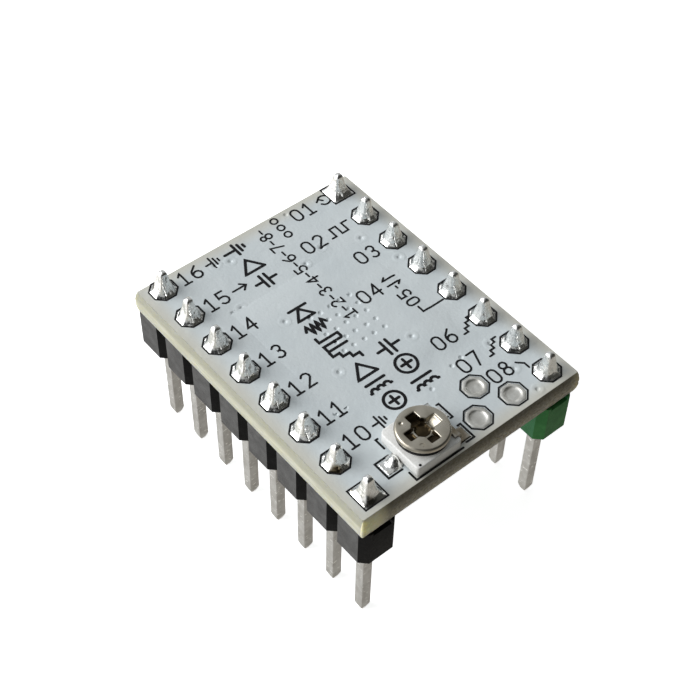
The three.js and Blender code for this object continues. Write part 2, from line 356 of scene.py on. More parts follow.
def mask_finish():
    """White solder mask: a blue-grey white with orange peel, creamy where it thins at the rim."""
    look = Finish("white_solder_mask", (0.6, 0.64, 0.66), 0.42)
    cloud = look.noise(0.35, 4.0)
    speck = look.noise(7.0, 4.0)
    tone = look.blend(cloud, 0.3, 0.7, (0.615, 0.67, 0.69), (0.655, 0.705, 0.72))
    tone = look.mix(look.fade(speck, 0.55, 0.8, 0.0, 0.35), tone, (0.5, 0.54, 0.56))
    along = look.math("SUBTRACT", look.axis(0), BOARD.x)
    edge_x = look.math("SUBTRACT", look.math("ABSOLUTE", along), HALF_LENGTH)
    edge_y = look.math("SUBTRACT", look.math("ABSOLUTE", look.axis(1)), HALF_WIDTH)
    rim = look.math("MAXIMUM", edge_x, edge_y)
    look.set("Base Color", look.mix(look.fade(rim, -1.3, -0.1, 0.0, 0.85), tone, (0.62, 0.6, 0.52)))
    look.set("Roughness", look.fade(look.noise(2.0), 0.3, 0.7, 0.36, 0.5))
    look.bump((look.noise(5.5, 2.0), 0.012), (look.noise(1.1, 2.0), 0.03))
    return look.material


def laminate_finish():
    """Glass-epoxy edge: cream with glass strands along it, darker towards its top in painted shade; brown
    and dusty on the +X side, partly in painted shade, with a painted glow near its corners.
    """
    look = Finish("glass_epoxy", (0.55, 0.53, 0.38), 0.62)
    strand = look.noise(1.4, 5.0, (0.35, 0.35, 5.0))
    weave = look.noise(5.0, 4.0, (1, 1, 3))
    height = look.axis(2)
    cream = look.blend(strand, 0.35, 0.65, (0.5, 0.495, 0.38), (0.6, 0.595, 0.485))
    # Painted shade: the cream is darker towards the top bevel.
    upper = look.fade(height, BOARD_TOP - 0.75, BOARD_TOP - 0.35)
    cream = look.mix(look.math("MULTIPLY", upper, 0.7), cream, (0.31, 0.305, 0.235))
    dust = look.noise(6.0, 5.0, (1, 1, 1.2))
    # Brown on the +X side: partly the rough, dusty snapped web, partly painted shade on a face turned away
    # from the window.
    brown = look.blend(dust, 0.3, 0.75, (0.28, 0.25, 0.185), (0.54, 0.51, 0.42))
    # Painted shade: the brown darkens towards the top of the +X side.
    groove = look.fade(height, BOARD_TOP - 1.1, BOARD_TOP - 0.1)
    brown = look.mix(look.math("MULTIPLY", groove, 0.8), brown, (0.105, 0.092, 0.06))
    # Painted glow: light through the laminate near the +X side's corners, given as a bright yellow-green
    # colour.
    painted_glow = look.blend(weave, 0.35, 0.65, (0.96, 0.87, 0.5), (1.0, 0.94, 0.66))
    glow_near_front = look.fade(look.axis(1), -HALF_WIDTH + 0.9, -HALF_WIDTH + 2.0, 1.0, 0.0)
    glow_near_back = look.fade(look.axis(1), HALF_WIDTH - 0.9, HALF_WIDTH - 0.2, 0.0, 0.3)
    side = look.mix(look.math("ADD", glow_near_front, glow_near_back), brown, painted_glow)
    on_side = look.fade(look.axis(0), BOARD_HIGH.x - 0.17, BOARD_HIGH.x - 0.13)
    look.set("Base Color", look.mix(on_side, cream, side))
    look.set("Roughness", look.fade(weave, 0.3, 0.7, 0.5, 0.8))
    look.set("Subsurface Weight", 0.5)
    look.set("Subsurface Radius", (1.0, 0.85, 0.4))
    look.set("Subsurface Scale", 1.1 * MM)
    look.bump((weave, 0.05), (strand, 0.08))
    return look.material


def ink_finish():
    look = Finish("black_ink", (0.006, 0.006, 0.007), 0.6, 0.0, 0.25)
    worn = look.noise(9.0, 4.0)
    look.tint(worn, 0.55, 0.8, (0.004, 0.004, 0.005), (0.02, 0.021, 0.023))
    look.set("Roughness", look.fade(worn, 0.3, 0.7, 0.5, 0.7))
    look.bump((worn, 0.006))
    return look.material


def solder_finish(name="bright_solder", stain=None, burnt_colour=(0.2, 0.14, 0.05)):
    """Bright solder with a soft ripple. A stain is (x, y, z, radius) of burnt flux."""
    look = Finish(name, (0.86, 0.86, 0.85), 0.2, 1.0)
    ripple = look.noise(2.4, 2.0, (1.3, 1.3, 0.8))
    grain = look.noise(9.0, 3.0, (1, 1, 0.45))
    tone = look.blend(grain, 0.35, 0.7, (0.92, 0.92, 0.905), (0.8, 0.8, 0.775))
    if stain:
        *place, radius = stain
        reach = look.math("ADD", look.distance(place), look.math("MULTIPLY", ripple, 0.5))
        burnt = look.fade(reach, radius * 0.55, radius * 1.15, 0.9, 0.0)
        tone = look.mix(burnt, tone, burnt_colour)
    look.set("Base Color", tone)
    look.set("Roughness", look.fade(ripple, 0.3, 0.7, 0.1, 0.3))
    look.bump((ripple, 0.055), (grain, 0.003))
    return look.material


def dull_solder_finish():
    """Levelled solder on the spare pads: matt, a little yellow, with shallow puddles."""
    look = Finish("levelled_solder", (0.62, 0.61, 0.57), 0.42, 1.0)
    puddle = look.noise(2.2, 4.0)
    look.tint(puddle, 0.35, 0.68, (0.62, 0.61, 0.57), (0.78, 0.775, 0.74))
    look.set("Roughness", look.fade(look.noise(6.0), 0.3, 0.7, 0.4, 0.6))
    look.bump((puddle, 0.03), (look.noise(16.0), 0.004))
    return look.material


def pin_finish():
    """Tin-plated brass pins: satin, drawn lengthwise, with a few bright nicks."""
    look = Finish("tin_plated_pin", (0.66, 0.64, 0.59), 0.38, 1.0)
    drawn = look.noise(7.0, 4.0, (1, 1, 0.12))
    blotch = look.noise(1.6, 4.0)
    nick = look.fade(look.noise(3.6, 2.0, (1, 1, 1.6)), 0.62, 0.68)
    tone = look.blend(blotch, 0.35, 0.65, (0.56, 0.555, 0.535), (0.68, 0.68, 0.665))
    look.set("Base Color", look.mix(nick, tone, (0.95, 0.95, 0.93)))
    look.set("Roughness", look.fade(drawn, 0.3, 0.7, 0.3, 0.46))
    look.bump((drawn, 0.02), (look.noise(3.0, 3.0), 0.03))
    return look.material


def plastic_finish(name, dark, light, specular):
    """Moulded nylon with a fine grain and a faint scuffed bloom."""
    look = Finish(name, dark, 0.55, 0.0, specular)
    grain = look.noise(22.0, 3.0)
    scuff = look.noise(1.8, 5.0)
    tone = look.blend(scuff, 0.3, 0.75, dark, light)
    look.set("Base Color", look.mix(look.fade(grain, 0.55, 0.8, 0.0, 0.5), tone, light))
    look.set("Roughness", look.fade(grain, 0.3, 0.7, 0.5, 0.68))
    look.bump((grain, 0.012), (scuff, 0.02))
    return look.material


def ceramic_finish():
    """White alumina with a fine sintered grain."""
    look = Finish("white_alumina", (0.82, 0.82, 0.8), 0.38)
    grain = look.noise(13.0, 4.0)
    look.tint(grain, 0.4, 0.7, (0.84, 0.84, 0.82), (0.74, 0.735, 0.71))
    look.set("Roughness", look.fade(grain, 0.3, 0.7, 0.32, 0.5))
    look.bump((grain, 0.008), (look.noise(2.4), 0.02))
    return look.material


def nickel_finish(name="nickel_plate", light=(0.5, 0.465, 0.395), dark=(0.42, 0.385, 0.315)):
    """Pressed, nickel-plated metal, warm with age and finely scratched."""
    look = Finish(name, light, 0.32, 1.0)
    cloud = look.noise(1.3, 4.0)
    scratch = look.noise(9.0, 3.0, (1.0, 0.1, 1.0))
    look.tint(cloud, 0.35, 0.7, light, dark)
    look.set("Roughness", look.fade(cloud, 0.3, 0.7, 0.26, 0.4))
    look.bump((scratch, 0.004), (look.noise(4.0, 3.0), 0.01))
    return look.material


def film_finish():
    """Printed resistive track: matt carbon film."""
    look = Finish("carbon_film", (0.02, 0.02, 0.022), 0.6)
    grain = look.noise(18.0, 3.0)
    look.tint(grain, 0.4, 0.7, (0.014, 0.014, 0.016), (0.05, 0.05, 0.052))
    look.bump((grain, 0.006))
    return look.material


def epoxy_finish():
    """Chip package: filled epoxy with a fine spark-eroded grain."""
    look = Finish("moulded_epoxy", (0.02, 0.02, 0.022), 0.6)
    grain = look.noise(20.0, 5.0)
    look.tint(grain, 0.42, 0.68, (0.014, 0.014, 0.016), (0.06, 0.06, 0.062))
    look.set("Roughness", look.fade(grain, 0.3, 0.7, 0.5, 0.7))
    look.bump((grain, 0.02))
    return look.material


def capacitor_finish():
    """Fired capacitor ceramic: brown-grey with faint layers."""
    look = Finish("capacitor_body", (0.36, 0.26, 0.17), 0.42)
    layer = look.noise(2.5, 3.0, (0.3, 0.3, 6.0))
    look.tint(layer, 0.35, 0.65, (0.33, 0.235, 0.15), (0.42, 0.31, 0.21))
    look.bump((look.noise(16.0, 3.0), 0.008))
    return look.material


def glaze_finish():
    """The black glass coat on a chip resistor."""
    look = Finish("resistor_glaze", (0.015, 0.015, 0.018), 0.25)
    speck = look.noise(10.0, 3.0)
    look.tint(speck, 0.5, 0.75, (0.012, 0.012, 0.015), (0.045, 0.045, 0.05))
    look.bump((look.noise(4.0, 2.0), 0.02))
    return look.material


MASK = mask_finish()
LAMINATE = laminate_finish()
INK = ink_finish()
SOLDER = solder_finish()
LEVELLED = dull_solder_finish()
FLUXED = solder_finish("fluxed_solder", (9.05, -0.6, BOARD_TOP + 0.4, 1.45), (0.13, 0.095, 0.045))
PIN = pin_finish()
# Lit and shaded copies of each nylon: the lighter, glossier copy is painted light for the long sides; the
# near-black copy is painted shade for the chamfers, ends, top and bottom.
BLACK_PAINTED_LIT = plastic_finish("black_nylon_painted_lit", (0.06, 0.06, 0.06), (0.1, 0.1, 0.1), 0.27)
BLACK_PAINTED_SHADE = plastic_finish("black_nylon_painted_shade", (0.006, 0.006, 0.006), (0.012, 0.012, 0.0125), 0.09)
GREEN_PAINTED_LIT = plastic_finish("green_nylon_painted_lit", (0.022, 0.19, 0.06), (0.04, 0.25, 0.09), 0.3)
GREEN_PAINTED_SHADE = plastic_finish("green_nylon_painted_shade", (0.03, 0.19, 0.045), (0.055, 0.26, 0.07), 0.22)
ALUMINA = ceramic_finish()
NICKEL = nickel_finish()
# Painted shade: near-black metal for the rotor's recess and for the rivet deep under it.
SHADED_NICKEL = nickel_finish("nickel_painted_shade", (0.075, 0.055, 0.03), (0.03, 0.022, 0.012))
FILM = film_finish()
EPOXY = epoxy_finish()
CAPACITOR = capacitor_finish()
GLAZE = glaze_finish()

# ---- Relief of the board's top --------------------------------------------------------------

VIA_SIDES = 18
VIA_RADIUS = 0.17
VIA_DEPTH = 0.08
# Shares of the radius and of the depth, from the middle out.
VIA_PROFILE = [(0.0, -1.0), (0.25, -0.93), (0.5, -0.62), (0.75, -0.24), (0.9, -0.06), (1.0, 0.0)]
HALO_RADIUS = 0.43
HALO_RISE = 0.013
# Distance from a via's middle and share of the rise, over the copper ring round it.
HALO_PROFILE = [(0.2, 0.0), (0.26, 0.7), (0.34, 1.0), (0.39, 0.5), (HALO_RADIUS, 0.0)]
VIA_GRID_STEP = (0.75, 0.7)
VIA_GRID_SHIFT = 0.1
VIA_GRID_JITTER = 0.05
HEAT_PAD_HALF = 4.5
HEAT_PAD_SLOPE = 0.25

# Filled vias apart from the grid: x, y, and 1 where a copper ring shows under the mask.
LONE_VIAS = [
    (-2.51, 5.68, 1), (-5.05, 4.96, 1), (-5.90, 2.66, 1), (-9.31, 2.71, 0), (-5.45, 1.16, 1),
    (2.49, 2.26, 1), (5.55, 5.26, 1), (5.29, 3.36, 0), (5.42, 2.56, 0), (7.69, 5.06, 1), (9.49, 5.06, 1),
    (-0.73, 4.36, 0), (-5.05, -3.74, 1), (-5.05, -4.34, 0), (-2.71, -2.51, 1), (1.94, -2.48, 1),
    (3.99, -3.72, 0), (3.99, -4.41, 0), (5.94, 0.66, 0), (-8.58, -2.94, 1), (-8.31, -2.09, 1),
]


def grid_vias():
    """The five by five vias that carry heat from the chip's pad to the copper area."""
    dice = random.Random(11)
    places = []
    for i in range(-2, 3):
        for j in range(-2, 3):
            x = CHIP.x + i * VIA_GRID_STEP[0] + dice.uniform(-1, 1) * VIA_GRID_JITTER
            y = CHIP.y + VIA_GRID_SHIFT + j * VIA_GRID_STEP[1] + dice.uniform(-1, 1) * VIA_GRID_JITTER
            places.append((x, y, 0))
    return places


VIAS = LONE_VIAS + grid_vias()


def pad_rise(x, y):
    """Height of the mask over the board, lifted by the copper under the heat sink's seat."""
    off = max(abs(x - CHIP.x), abs(y - CHIP.y))
    return HEAT_PAD_RISE * (1 - smooth_step(off, HEAT_PAD_HALF - HEAT_PAD_SLOPE, HEAT_PAD_HALF))


def mask_height(x, y):
    rise = pad_rise(x, y)
    for via_x, via_y, halo in VIAS:
        off = math.hypot(x - via_x, y - via_y)
        if off < VIA_RADIUS:
            rise += VIA_DEPTH * between(off / VIA_RADIUS, VIA_PROFILE)
        elif halo and off < HALO_RADIUS:
            rise += HALO_RISE * between(off, HALO_PROFILE)
    return BOARD_TOP + rise


def inside(point, outline):
    """Whether a point is within an outline."""
    x, y = point
    crossings = 0
    for (x0, y0), (x1, y1) in zip(outline, outline[1:] + outline[:1]):
        if (y0 > y) != (y1 > y) and x < x0 + (x1 - x0) * (y - y0) / (y1 - y0):
            crossings += 1
    return crossings % 2 == 1


def flat_region(form, outline, holes, z):
    """Fills a flat outline round its holes with triangles."""
    points = []
    edges = []
    for loop in [outline, *holes]:
        start = len(points)
        points += [Vector(point) for point in loop]
        edges += [(start + i, start + (i + 1) % len(loop)) for i in range(len(loop))]
    found = delaunay_2d_cdt(points, edges, [], 0, 1e-6)
    corners = [tuple(point) for point in found[0]]
    base = form.ring(at_height(corners, z))
    for face in found[2]:
        centre = tuple(sum(corners[i][axis] for i in face) / 3 for axis in (0, 1))
        if inside(centre, outline) and not any(inside(centre, hole) for hole in holes):
            form.face([base[i] for i in face])


def via_rings(halo):
    """Radii and rises from the middle of a via out to the flat."""
    rings = [(r * VIA_RADIUS, h * VIA_DEPTH) for r, h in VIA_PROFILE[1:]]
    if halo:
        rings += [(r, h * HALO_RISE) for r, h in HALO_PROFILE[1:]]
    rings.append((rings[-1][0] + 0.03, 0.0))
    return rings


def add_via(form, x, y, halo, z):
    profile = reversed(via_rings(halo))
    made = form.loft([at_height(circle(radius, VIA_SIDES, x, y), z + rise) for radius, rise in profile])
    form.fan(made[-1], (x, y, z - VIA_DEPTH))


def via_outline(x, y, halo):
    return circle(via_rings(halo)[-1][0], VIA_SIDES, x, y)


def square(reach, x, y):
    return [(x + reach * u, y + reach * v) for u, v in ((-1, -1), (1, -1), (1, 1), (-1, 1))]


SCORE_INSET = 0.13
SCORE_DEPTH = 0.55
MASK_SETBACK = 0.02
CORNER_RADIUS = 0.09
CORNER_STEPS = 6
SPARE_OPENING = 0.7


def over_heat_pad(x, y):
    return max(abs(x - CHIP.x), abs(y - CHIP.y)) < HEAT_PAD_HALF - HEAT_PAD_SLOPE


def board_outline(inset):
    half_x, half_y = HALF_LENGTH - inset, HALF_WIDTH - inset
    return rounded_rectangle(half_x, half_y, CORNER_RADIUS, CORNER_STEPS, BOARD.x, BOARD.y)


MASK_THICKNESS = 0.04
MASK_SLANT = 0.01


def add_mask_sheet(form, vias, holes=()):
    """The flat sheet, with its vias, its openings over the spare pads and its rim."""
    openings = [octagon(SPARE_OPENING, place.x, place.y) for place in SPARE_PADS]
    rim = board_outline(SCORE_INSET + MASK_SETBACK)
    foot = board_outline(SCORE_INSET + MASK_SETBACK + MASK_SLANT)
    low = BOARD_TOP - MASK_THICKNESS
    flat_region(form, rim, [*holes, *openings, *(via_outline(*via) for via in vias)], BOARD_TOP)
    for via in vias:
        add_via(form, *via, BOARD_TOP)
    for opening in openings:
        form.loft([at_height(opening, BOARD_TOP), at_height(opening, low)])
    form.loft([at_height(foot, low), at_height(rim, BOARD_TOP)])


def top_mask():
    """The upper face, lifted by the copper area over the chip."""
    high = BOARD_TOP + HEAT_PAD_RISE
    foot = square(HEAT_PAD_HALF, CHIP.x, CHIP.y)
    plateau = square(HEAT_PAD_HALF - HEAT_PAD_SLOPE, CHIP.x, CHIP.y)
    raised = [via for via in VIAS if over_heat_pad(*via[:2])]
    form = Form()
    add_mask_sheet(form, [via for via in VIAS if via not in raised], [foot])
    form.loft([at_height(foot, BOARD_TOP), at_height(plateau, high)])
    flat_region(form, plateau, [via_outline(*via) for via in raised], high)
    for via in raised:
        add_via(form, *via, high)
    return form


to_piece("top_solder_mask", top_mask(), [MASK], sharp=30, weld=True)

# The laminate stays this far behind both masks, so that the sunken vias have room.
CORE_RECESS = 0.25
THICKNESS = BOARD_TOP - BOARD_BOTTOM
HALF_SCORE = (SCORE_DEPTH * 0.5, SCORE_INSET * 0.45, 0.012)
# Height over the board's bottom, inset from its outline, and how rough it is there: from the
# laminate's lower face over the lower score, the snapped web and the upper score to its upper face.
CORE_LEVELS = [
    (CORE_RECESS, SCORE_INSET + 0.12, 0.0),
    (0.02, SCORE_INSET + 0.1, 0.0),
    (0.02, SCORE_INSET + 0.01, 0.0),
    (0.04, SCORE_INSET, 0.004),
    HALF_SCORE,
    (SCORE_DEPTH - 0.03, 0.02, 0.01),
    (SCORE_DEPTH + 0.03, 0.012, 0.03),
    (THICKNESS / 2 - 0.08, 0.01, 0.035),
    (THICKNESS / 2, 0.015, 0.05),
    (THICKNESS / 2 + 0.09, 0.01, 0.035),
    (THICKNESS - SCORE_DEPTH - 0.03, 0.012, 0.03),
    (THICKNESS - SCORE_DEPTH + 0.03, 0.02, 0.02),
    (THICKNESS - HALF_SCORE[0], *HALF_SCORE[1:]),
    (THICKNESS - 0.04, SCORE_INSET, 0.004),
    (THICKNESS - 0.02, SCORE_INSET + 0.01, 0.0),
    (THICKNESS - 0.02, SCORE_INSET + 0.1, 0.0),
    (THICKNESS - CORE_RECESS, SCORE_INSET + 0.12, 0.0),
]
CORE_POINTS_PER_SIDE = 160
CORE_DRIFT = Vector((3.1, 7.7, 1.9))


def board_core():
    """The laminate with its scored bevels and the broken web between them."""
    outline = []
    step = 2 * HALF_LENGTH / CORE_POINTS_PER_SIDE
    base = rounded_rectangle(HALF_LENGTH, HALF_WIDTH, CORNER_RADIUS, CORNER_STEPS)
    for (x0, y0), (x1, y1) in zip(base, base[1:] + base[:1]):
        steps = max(1, round(math.hypot(x1 - x0, y1 - y0) / step))
        outline += [(x0 + (x1 - x0) * i / steps, y0 + (y1 - y0) * i / steps) for i in range(steps)]
    rings = []
    for height, inset, rough in CORE_LEVELS:
        ring = []
        for x, y in outline:
            coarse = noise.noise(Vector((x * 2.2, y * 2.2, height * 5)) + CORE_DRIFT)
            fibre = noise.noise(Vector((x * 9, y * 9, height * 7)) + CORE_DRIFT)
            depth = max(0.004, inset + rough * (0.7 * coarse + 0.5 * fibre))
            drawn_x, drawn_y = x * (1 - depth / HALF_LENGTH), y * (1 - depth / HALF_WIDTH)
            ring.append((BOARD.x + drawn_x, BOARD.y + drawn_y, BOARD_BOTTOM + height))
        rings.append(ring)
    form = Form()
    form.closed_loft(rings)
    return form


to_piece("board_laminate", board_core(), [LAMINATE], ["circuit_board"], sharp=38)


def bottom_mask():
    """The underside: flat, with the same vias and spare pads."""
    form = Form()
    add_mask_sheet(form, [(x, y, 0) for x, y, _ in LONE_VIAS])
    return form.turned_over()


to_piece("bottom_solder_mask", bottom_mask(), [MASK], sharp=30)

# ---- Printed marks --------------------------------------------------------------------------

INK_RISE = 0.014
STROKE_STEP = 0.09
FINE_STROKE = 0.12
PAD_STROKE = 0.1
HEAVY_STROKE = 0.175


def subdivided(points, closed):
    ends = points[1:] + points[:1] if closed else points[1:]
    fine = []
    for (x0, y0), (x1, y1) in zip(points, ends):
        steps = max(1, math.ceil(math.hypot(x1 - x0, y1 - y0) / STROKE_STEP))
        fine += [(x0 + (x1 - x0) * i / steps, y0 + (y1 - y0) * i / steps) for i in range(steps)]
    return fine if closed else fine + [points[-1]]


def sideways(points, closed):
    """The mitred sideways direction at each point of a line."""
    count = len(points)
    found = []
    for i in range(count):
        before = points[i - 1] if closed or i else None
        after = points[(i + 1) % count] if closed or i < count - 1 else None
        here = Vector(points[i])
        ways = []
        if before:
            ways.append((here - Vector(before)).normalized())
        if after:
            ways.append((Vector(after) - here).normalized())
        along = sum(ways, Vector((0, 0))).normalized()
        stretch = min(1.6, 1 / max(0.3, along.dot(ways[-1])))
        found.append(Vector((-along.y, along.x)) * stretch)
    return found


def add_stroke(form, points, width, closed=False, height=mask_height):
    """A printed line that follows the board's relief, with round ends where it is open."""
    points = subdivided(points, closed)
    sections = [(Vector(p), side * width / 2) for p, side in zip(points, sideways(points, closed))]
    if not closed:
        first, side = sections[0]
        last, last_side = sections[-1]
        back = Vector((side.y, -side.x))
        on = Vector((last_side.y, -last_side.x))
        caps = [(0.5, 0.87), (0.9, 0.44)]
        sections = (
            [(first - back * reach, side * narrow) for reach, narrow in reversed(caps)]
            + sections
            + [(last + on * reach, last_side * narrow) for reach, narrow in caps]
        )
    rows = []
    for centre, side in sections:
        left, right = centre + side, centre - side
        edge = INK_RISE * 0.8
        corners = [(left, -0.01), (left, edge), (centre, INK_RISE), (right, edge), (right, -0.01)]
        rows.append(form.ring([(p.x, p.y, height(p.x, p.y) + z) for p, z in corners]))
    ends = rows[1:] + rows[:1] if closed else rows[1:]
    for row, following in zip(rows, ends):
        form.wall(following, row, closed=False)
    if not closed:
        form.face(rows[0])
        form.face(reversed(rows[-1]))


def digit_strokes(digit):
    """Strokes of a digit, in a cell 0.6 wide and 1 high."""
    top = arc(0.3, 0.72, 0.26, 155, -60, 6)
    strokes = {
        "0": [arc(0.3, 0.7, 0.27, 0, 180, 6) + arc(0.3, 0.3, 0.27, 180, 360, 6) + [(0.57, 0.7)]],
        "1": [[(0.1, 0.78), (0.32, 1.0), (0.32, 0.03)], [(0.08, 0.03), (0.56, 0.03)]],
        "2": [top + [(0.04, 0.03), (0.56, 0.03)]],
        "3": [arc(0.3, 0.74, 0.23, 150, -90, 6) + arc(0.3, 0.27, 0.25, 90, -150, 6)],
        "4": [[(0.44, 0.0), (0.44, 0.98), (0.03, 0.32), (0.58, 0.32)]],
        "5": [[(0.54, 0.98), (0.1, 0.98), (0.07, 0.55)] + arc(0.3, 0.32, 0.28, 110, -150, 7)],
        "6": [[(0.48, 0.97)] + arc(0.42, 0.42, 0.4, 140, 200, 3) + arc(0.3, 0.29, 0.27, 200, 520, 9)],
        "7": [[(0.03, 0.98), (0.57, 0.98), (0.2, 0.0)]],
        "8": [arc(0.3, 0.75, 0.22, -90, 270, 10), arc(0.3, 0.27, 0.26, 90, 450, 10)],
        "9": [[(0.12, 0.03)] + arc(0.18, 0.58, 0.4, -40, 20, 3) + arc(0.3, 0.71, 0.27, 20, 340, 9)],
    }
    return strokes[digit]


# Small schematic signs in a cell 1 high: each is a list of strokes.
def ground_sign():
    bars = [[(0.42 + 0.22 * i, 0.06 + 0.17 * i), (0.42 + 0.22 * i, 0.94 - 0.17 * i)] for i in range(3)]
    return [[(0.0, 0.5), (0.42, 0.5)], *bars]


def supply_sign():
    return [[(0.0, 0.5), (0.9, 0.5)], [(0.62, 0.22), (0.92, 0.5), (0.62, 0.78)]]


def coil_sign():
    humps = []
    for i in range(3):
        humps += arc(0.2 + 0.3 * i, 0.35, 0.15, 180, 0, 4)
    return [[(0.0, 0.35), *humps, (1.02, 0.35)]]


def jumps(places, levels):
    """A line that stays level between places and jumps to the next level at each."""
    line = []
    for start, end, level in zip(places, places[1:], levels):
        line += [(start, level), (end, level)]
    return line


def pulse_sign():
    return [jumps((0.0, 0.3, 0.75, 1.2, 1.6), (0.15, 0.85, 0.15, 0.85))]


def turn_sign():
    return [arc(0.5, 0.5, 0.38, 210, 500, 10), [(0.02, 0.6), (0.24, 0.74), (0.42, 0.5)]]


def link_sign():
    return [[(0.0, 0.25), (0.9, 0.25), (0.65, 0.05)], [(0.9, 0.72), (0.0, 0.72), (0.25, 0.92)]]


def step_sign():
    return [jumps((0.0, 0.3, 0.6, 0.9, 1.2), (0.1, 0.4, 0.7, 0.95))]


DIGIT_ADVANCE = 0.86
SIGN_GAP = 0.15


class Lettering:
    """Strokes laid in a cell frame: along is the way of reading and up is across it."""

    def __init__(self, form, origin, along, up, height=1.0, width=FINE_STROKE):
        self.form = form
        self.pen = Vector(origin)
        self.along = Vector(along)
        self.up = Vector(up)
        self.height = height
        self.width = width

    def draw(self, strokes, advance):
        for stroke in strokes:
            points = [self.pen + (self.along * u + self.up * v) * self.height for u, v in stroke]
            add_stroke(self.form, [(p.x, p.y) for p in points], self.width)
        self.pen += self.along * advance * self.height

    def number(self, text):
        for digit in text:
            self.draw(digit_strokes(digit), DIGIT_ADVANCE)


# Each label: number, x of its foot line, y where it starts, sign after the number.
FRONT_START = -5.28
PIN_LABELS = [
    ("16", -8.36, FRONT_START, ground_sign),
    ("15", -5.81, FRONT_START, supply_sign),
    ("14", -3.29, FRONT_START, None),
    ("13", -0.76, FRONT_START, None),
    ("12", 1.81, FRONT_START, None),
    ("11", 4.31, FRONT_START, None),
    ("10", 6.34, FRONT_START, ground_sign),
    ("01", -8.36, 2.9, turn_sign),
    ("02", -5.88, 1.75, pulse_sign),
    ("03", -3.31, 3.6, None),
    ("04", -0.88, 1.75, link_sign),
    ("06", 4.29, 2.75, step_sign),
    ("07", 6.34, 2.75, step_sign),
    ("08", 7.89, 3.55, None),
]


def add_pin_labels(form):
    for text, foot, start, sign in PIN_LABELS:
        lettering = Lettering(form, (foot, start), (0, 1), (-1, 0))
        lettering.number(text)
        if sign:
            lettering.pen += Vector((0, SIGN_GAP))
            lettering.draw(sign(), 1.0)
    turned = Lettering(form, (0.85, 4.42), (-1, 0), (0, -1), 0.82)
    turned.number("05")
    leaders = [
        [(1.08, 3.97), (1.53, 3.97), (1.53, 5.45)],
        [(-0.88, 4.0), (-0.72, 4.0)],
        [(7.42, 5.4), (7.75, 5.76), (8.12, 5.76)],
    ]
    for leader in leaders:
        add_stroke(form, leader, FINE_STROKE)


PAD_OUTLINE = 0.775


def add_pad_outlines(form):
    for name, place in PIN_PLACES.items():
        if name in SQUARE_PADS:
            outline = square(PAD_OUTLINE - 0.03, place.x, place.y)
        else:
            outline = octagon(PAD_OUTLINE, place.x, place.y)
        add_stroke(form, outline, PAD_STROKE, closed=True)
    for place in SPARE_PADS:
        add_stroke(form, octagon(PAD_OUTLINE, place.x, place.y), PAD_STROKE, closed=True)


# Bold circuit signs in a cell 0.75 wide and 1 high.
def pulses_sign():
    return [[(0.0, 0.05), *jumps((0.0, 0.3, 0.58, 0.82), (0.95, 0.05, 0.95))]]


def driver_sign():
    return [[(0.05, 0.03), (0.05, 0.97), (0.75, 0.5), (0.05, 0.03)]]


def winding_sign():
    humps = []
    for i in range(3):
        humps += arc(0.2, 0.2 + 0.3 * i, 0.15, -90, 90, 5)
    return [[(0.2, 0.0), *humps, (0.2, 1.0)], [(0.6, 0.05), (0.6, 0.95)]]


def motor_sign():
    return [arc(0.4, 0.5, 0.42, 0, 360, 22), [(0.4, 0.27), (0.4, 0.73)], [(0.17, 0.5), (0.63, 0.5)]]


def capacitor_sign():
    plates = [[(0.05, v), (0.75, v)] for v in (0.38, 0.62)]
    return [[(0.4, 0.0), (0.4, 0.38)], *plates, [(0.4, 0.62), (0.4, 1.0)]]


def resistor_sign():
    zigzag = [(0.12 if i % 2 else 0.62, 0.14 + 0.12 * i) for i in range(7)]
    return [[(0.37, 0.0), *zigzag, (0.37, 1.0)]]


def diode_sign():
    return [[(0.05, 0.1), (0.05, 0.9), (0.62, 0.5), (0.05, 0.1)], [(0.68, 0.08), (0.68, 0.92)]]


def stairs_sign():
    return [jumps((0.0, 0.2, 0.42, 0.64, 0.86), (0.03, 0.34, 0.66, 0.97))]


def earth_sign():
    bars = [[(0.08 + 0.12 * i, 0.45 - 0.2 * i), (0.72 - 0.12 * i, 0.45 - 0.2 * i)] for i in range(3)]
    return [[(0.4, 1.0), (0.4, 0.45)], *bars]


def add_circuit_band(form):
    """The bold row along the board: what a stepper driver does, in circuit signs."""
    band = Lettering(form, (5.8, -0.68), (-1, 0), (0, -1), 1.42, HEAVY_STROKE)
    for sign in (
        motor_sign, winding_sign, driver_sign, stairs_sign, pulses_sign, resistor_sign, diode_sign,
    ):
        band.draw(sign(), 0.93)
    band = Lettering(form, (-5.3, -0.68), (-1, 0), (0, -1), 1.42, HEAVY_STROKE)
    for sign in (capacitor_sign, driver_sign, earth_sign):
        band.draw(sign(), 1.05)
    above = Lettering(form, (5.85, 1.5), (-1, 0), (0, -1), 1.5, HEAVY_STROKE)
    for sign in (winding_sign, motor_sign, capacitor_sign):
        above.draw(sign(), 1.0)


def add_small_numbers(form):
    """A row of small numbers with dashes, and three rings beside it."""
    row = Lettering(form, (-0.65, 1.05), (-1, 0), (0, -1), 0.78, 0.11)
    for digit in "12345678":
        row.draw(digit_strokes(digit), 0.72)
        row.draw([[(0.05, 0.5), (0.45, 0.5)]], 0.68)
    rings = Lettering(form, (-7.7, 2.2), (-1, 0), (0, -1), 0.75, 0.11)
    for _ in range(3):
        rings.draw([arc(0.32, 0.5, 0.3, 0, 360, 12)], 0.9)


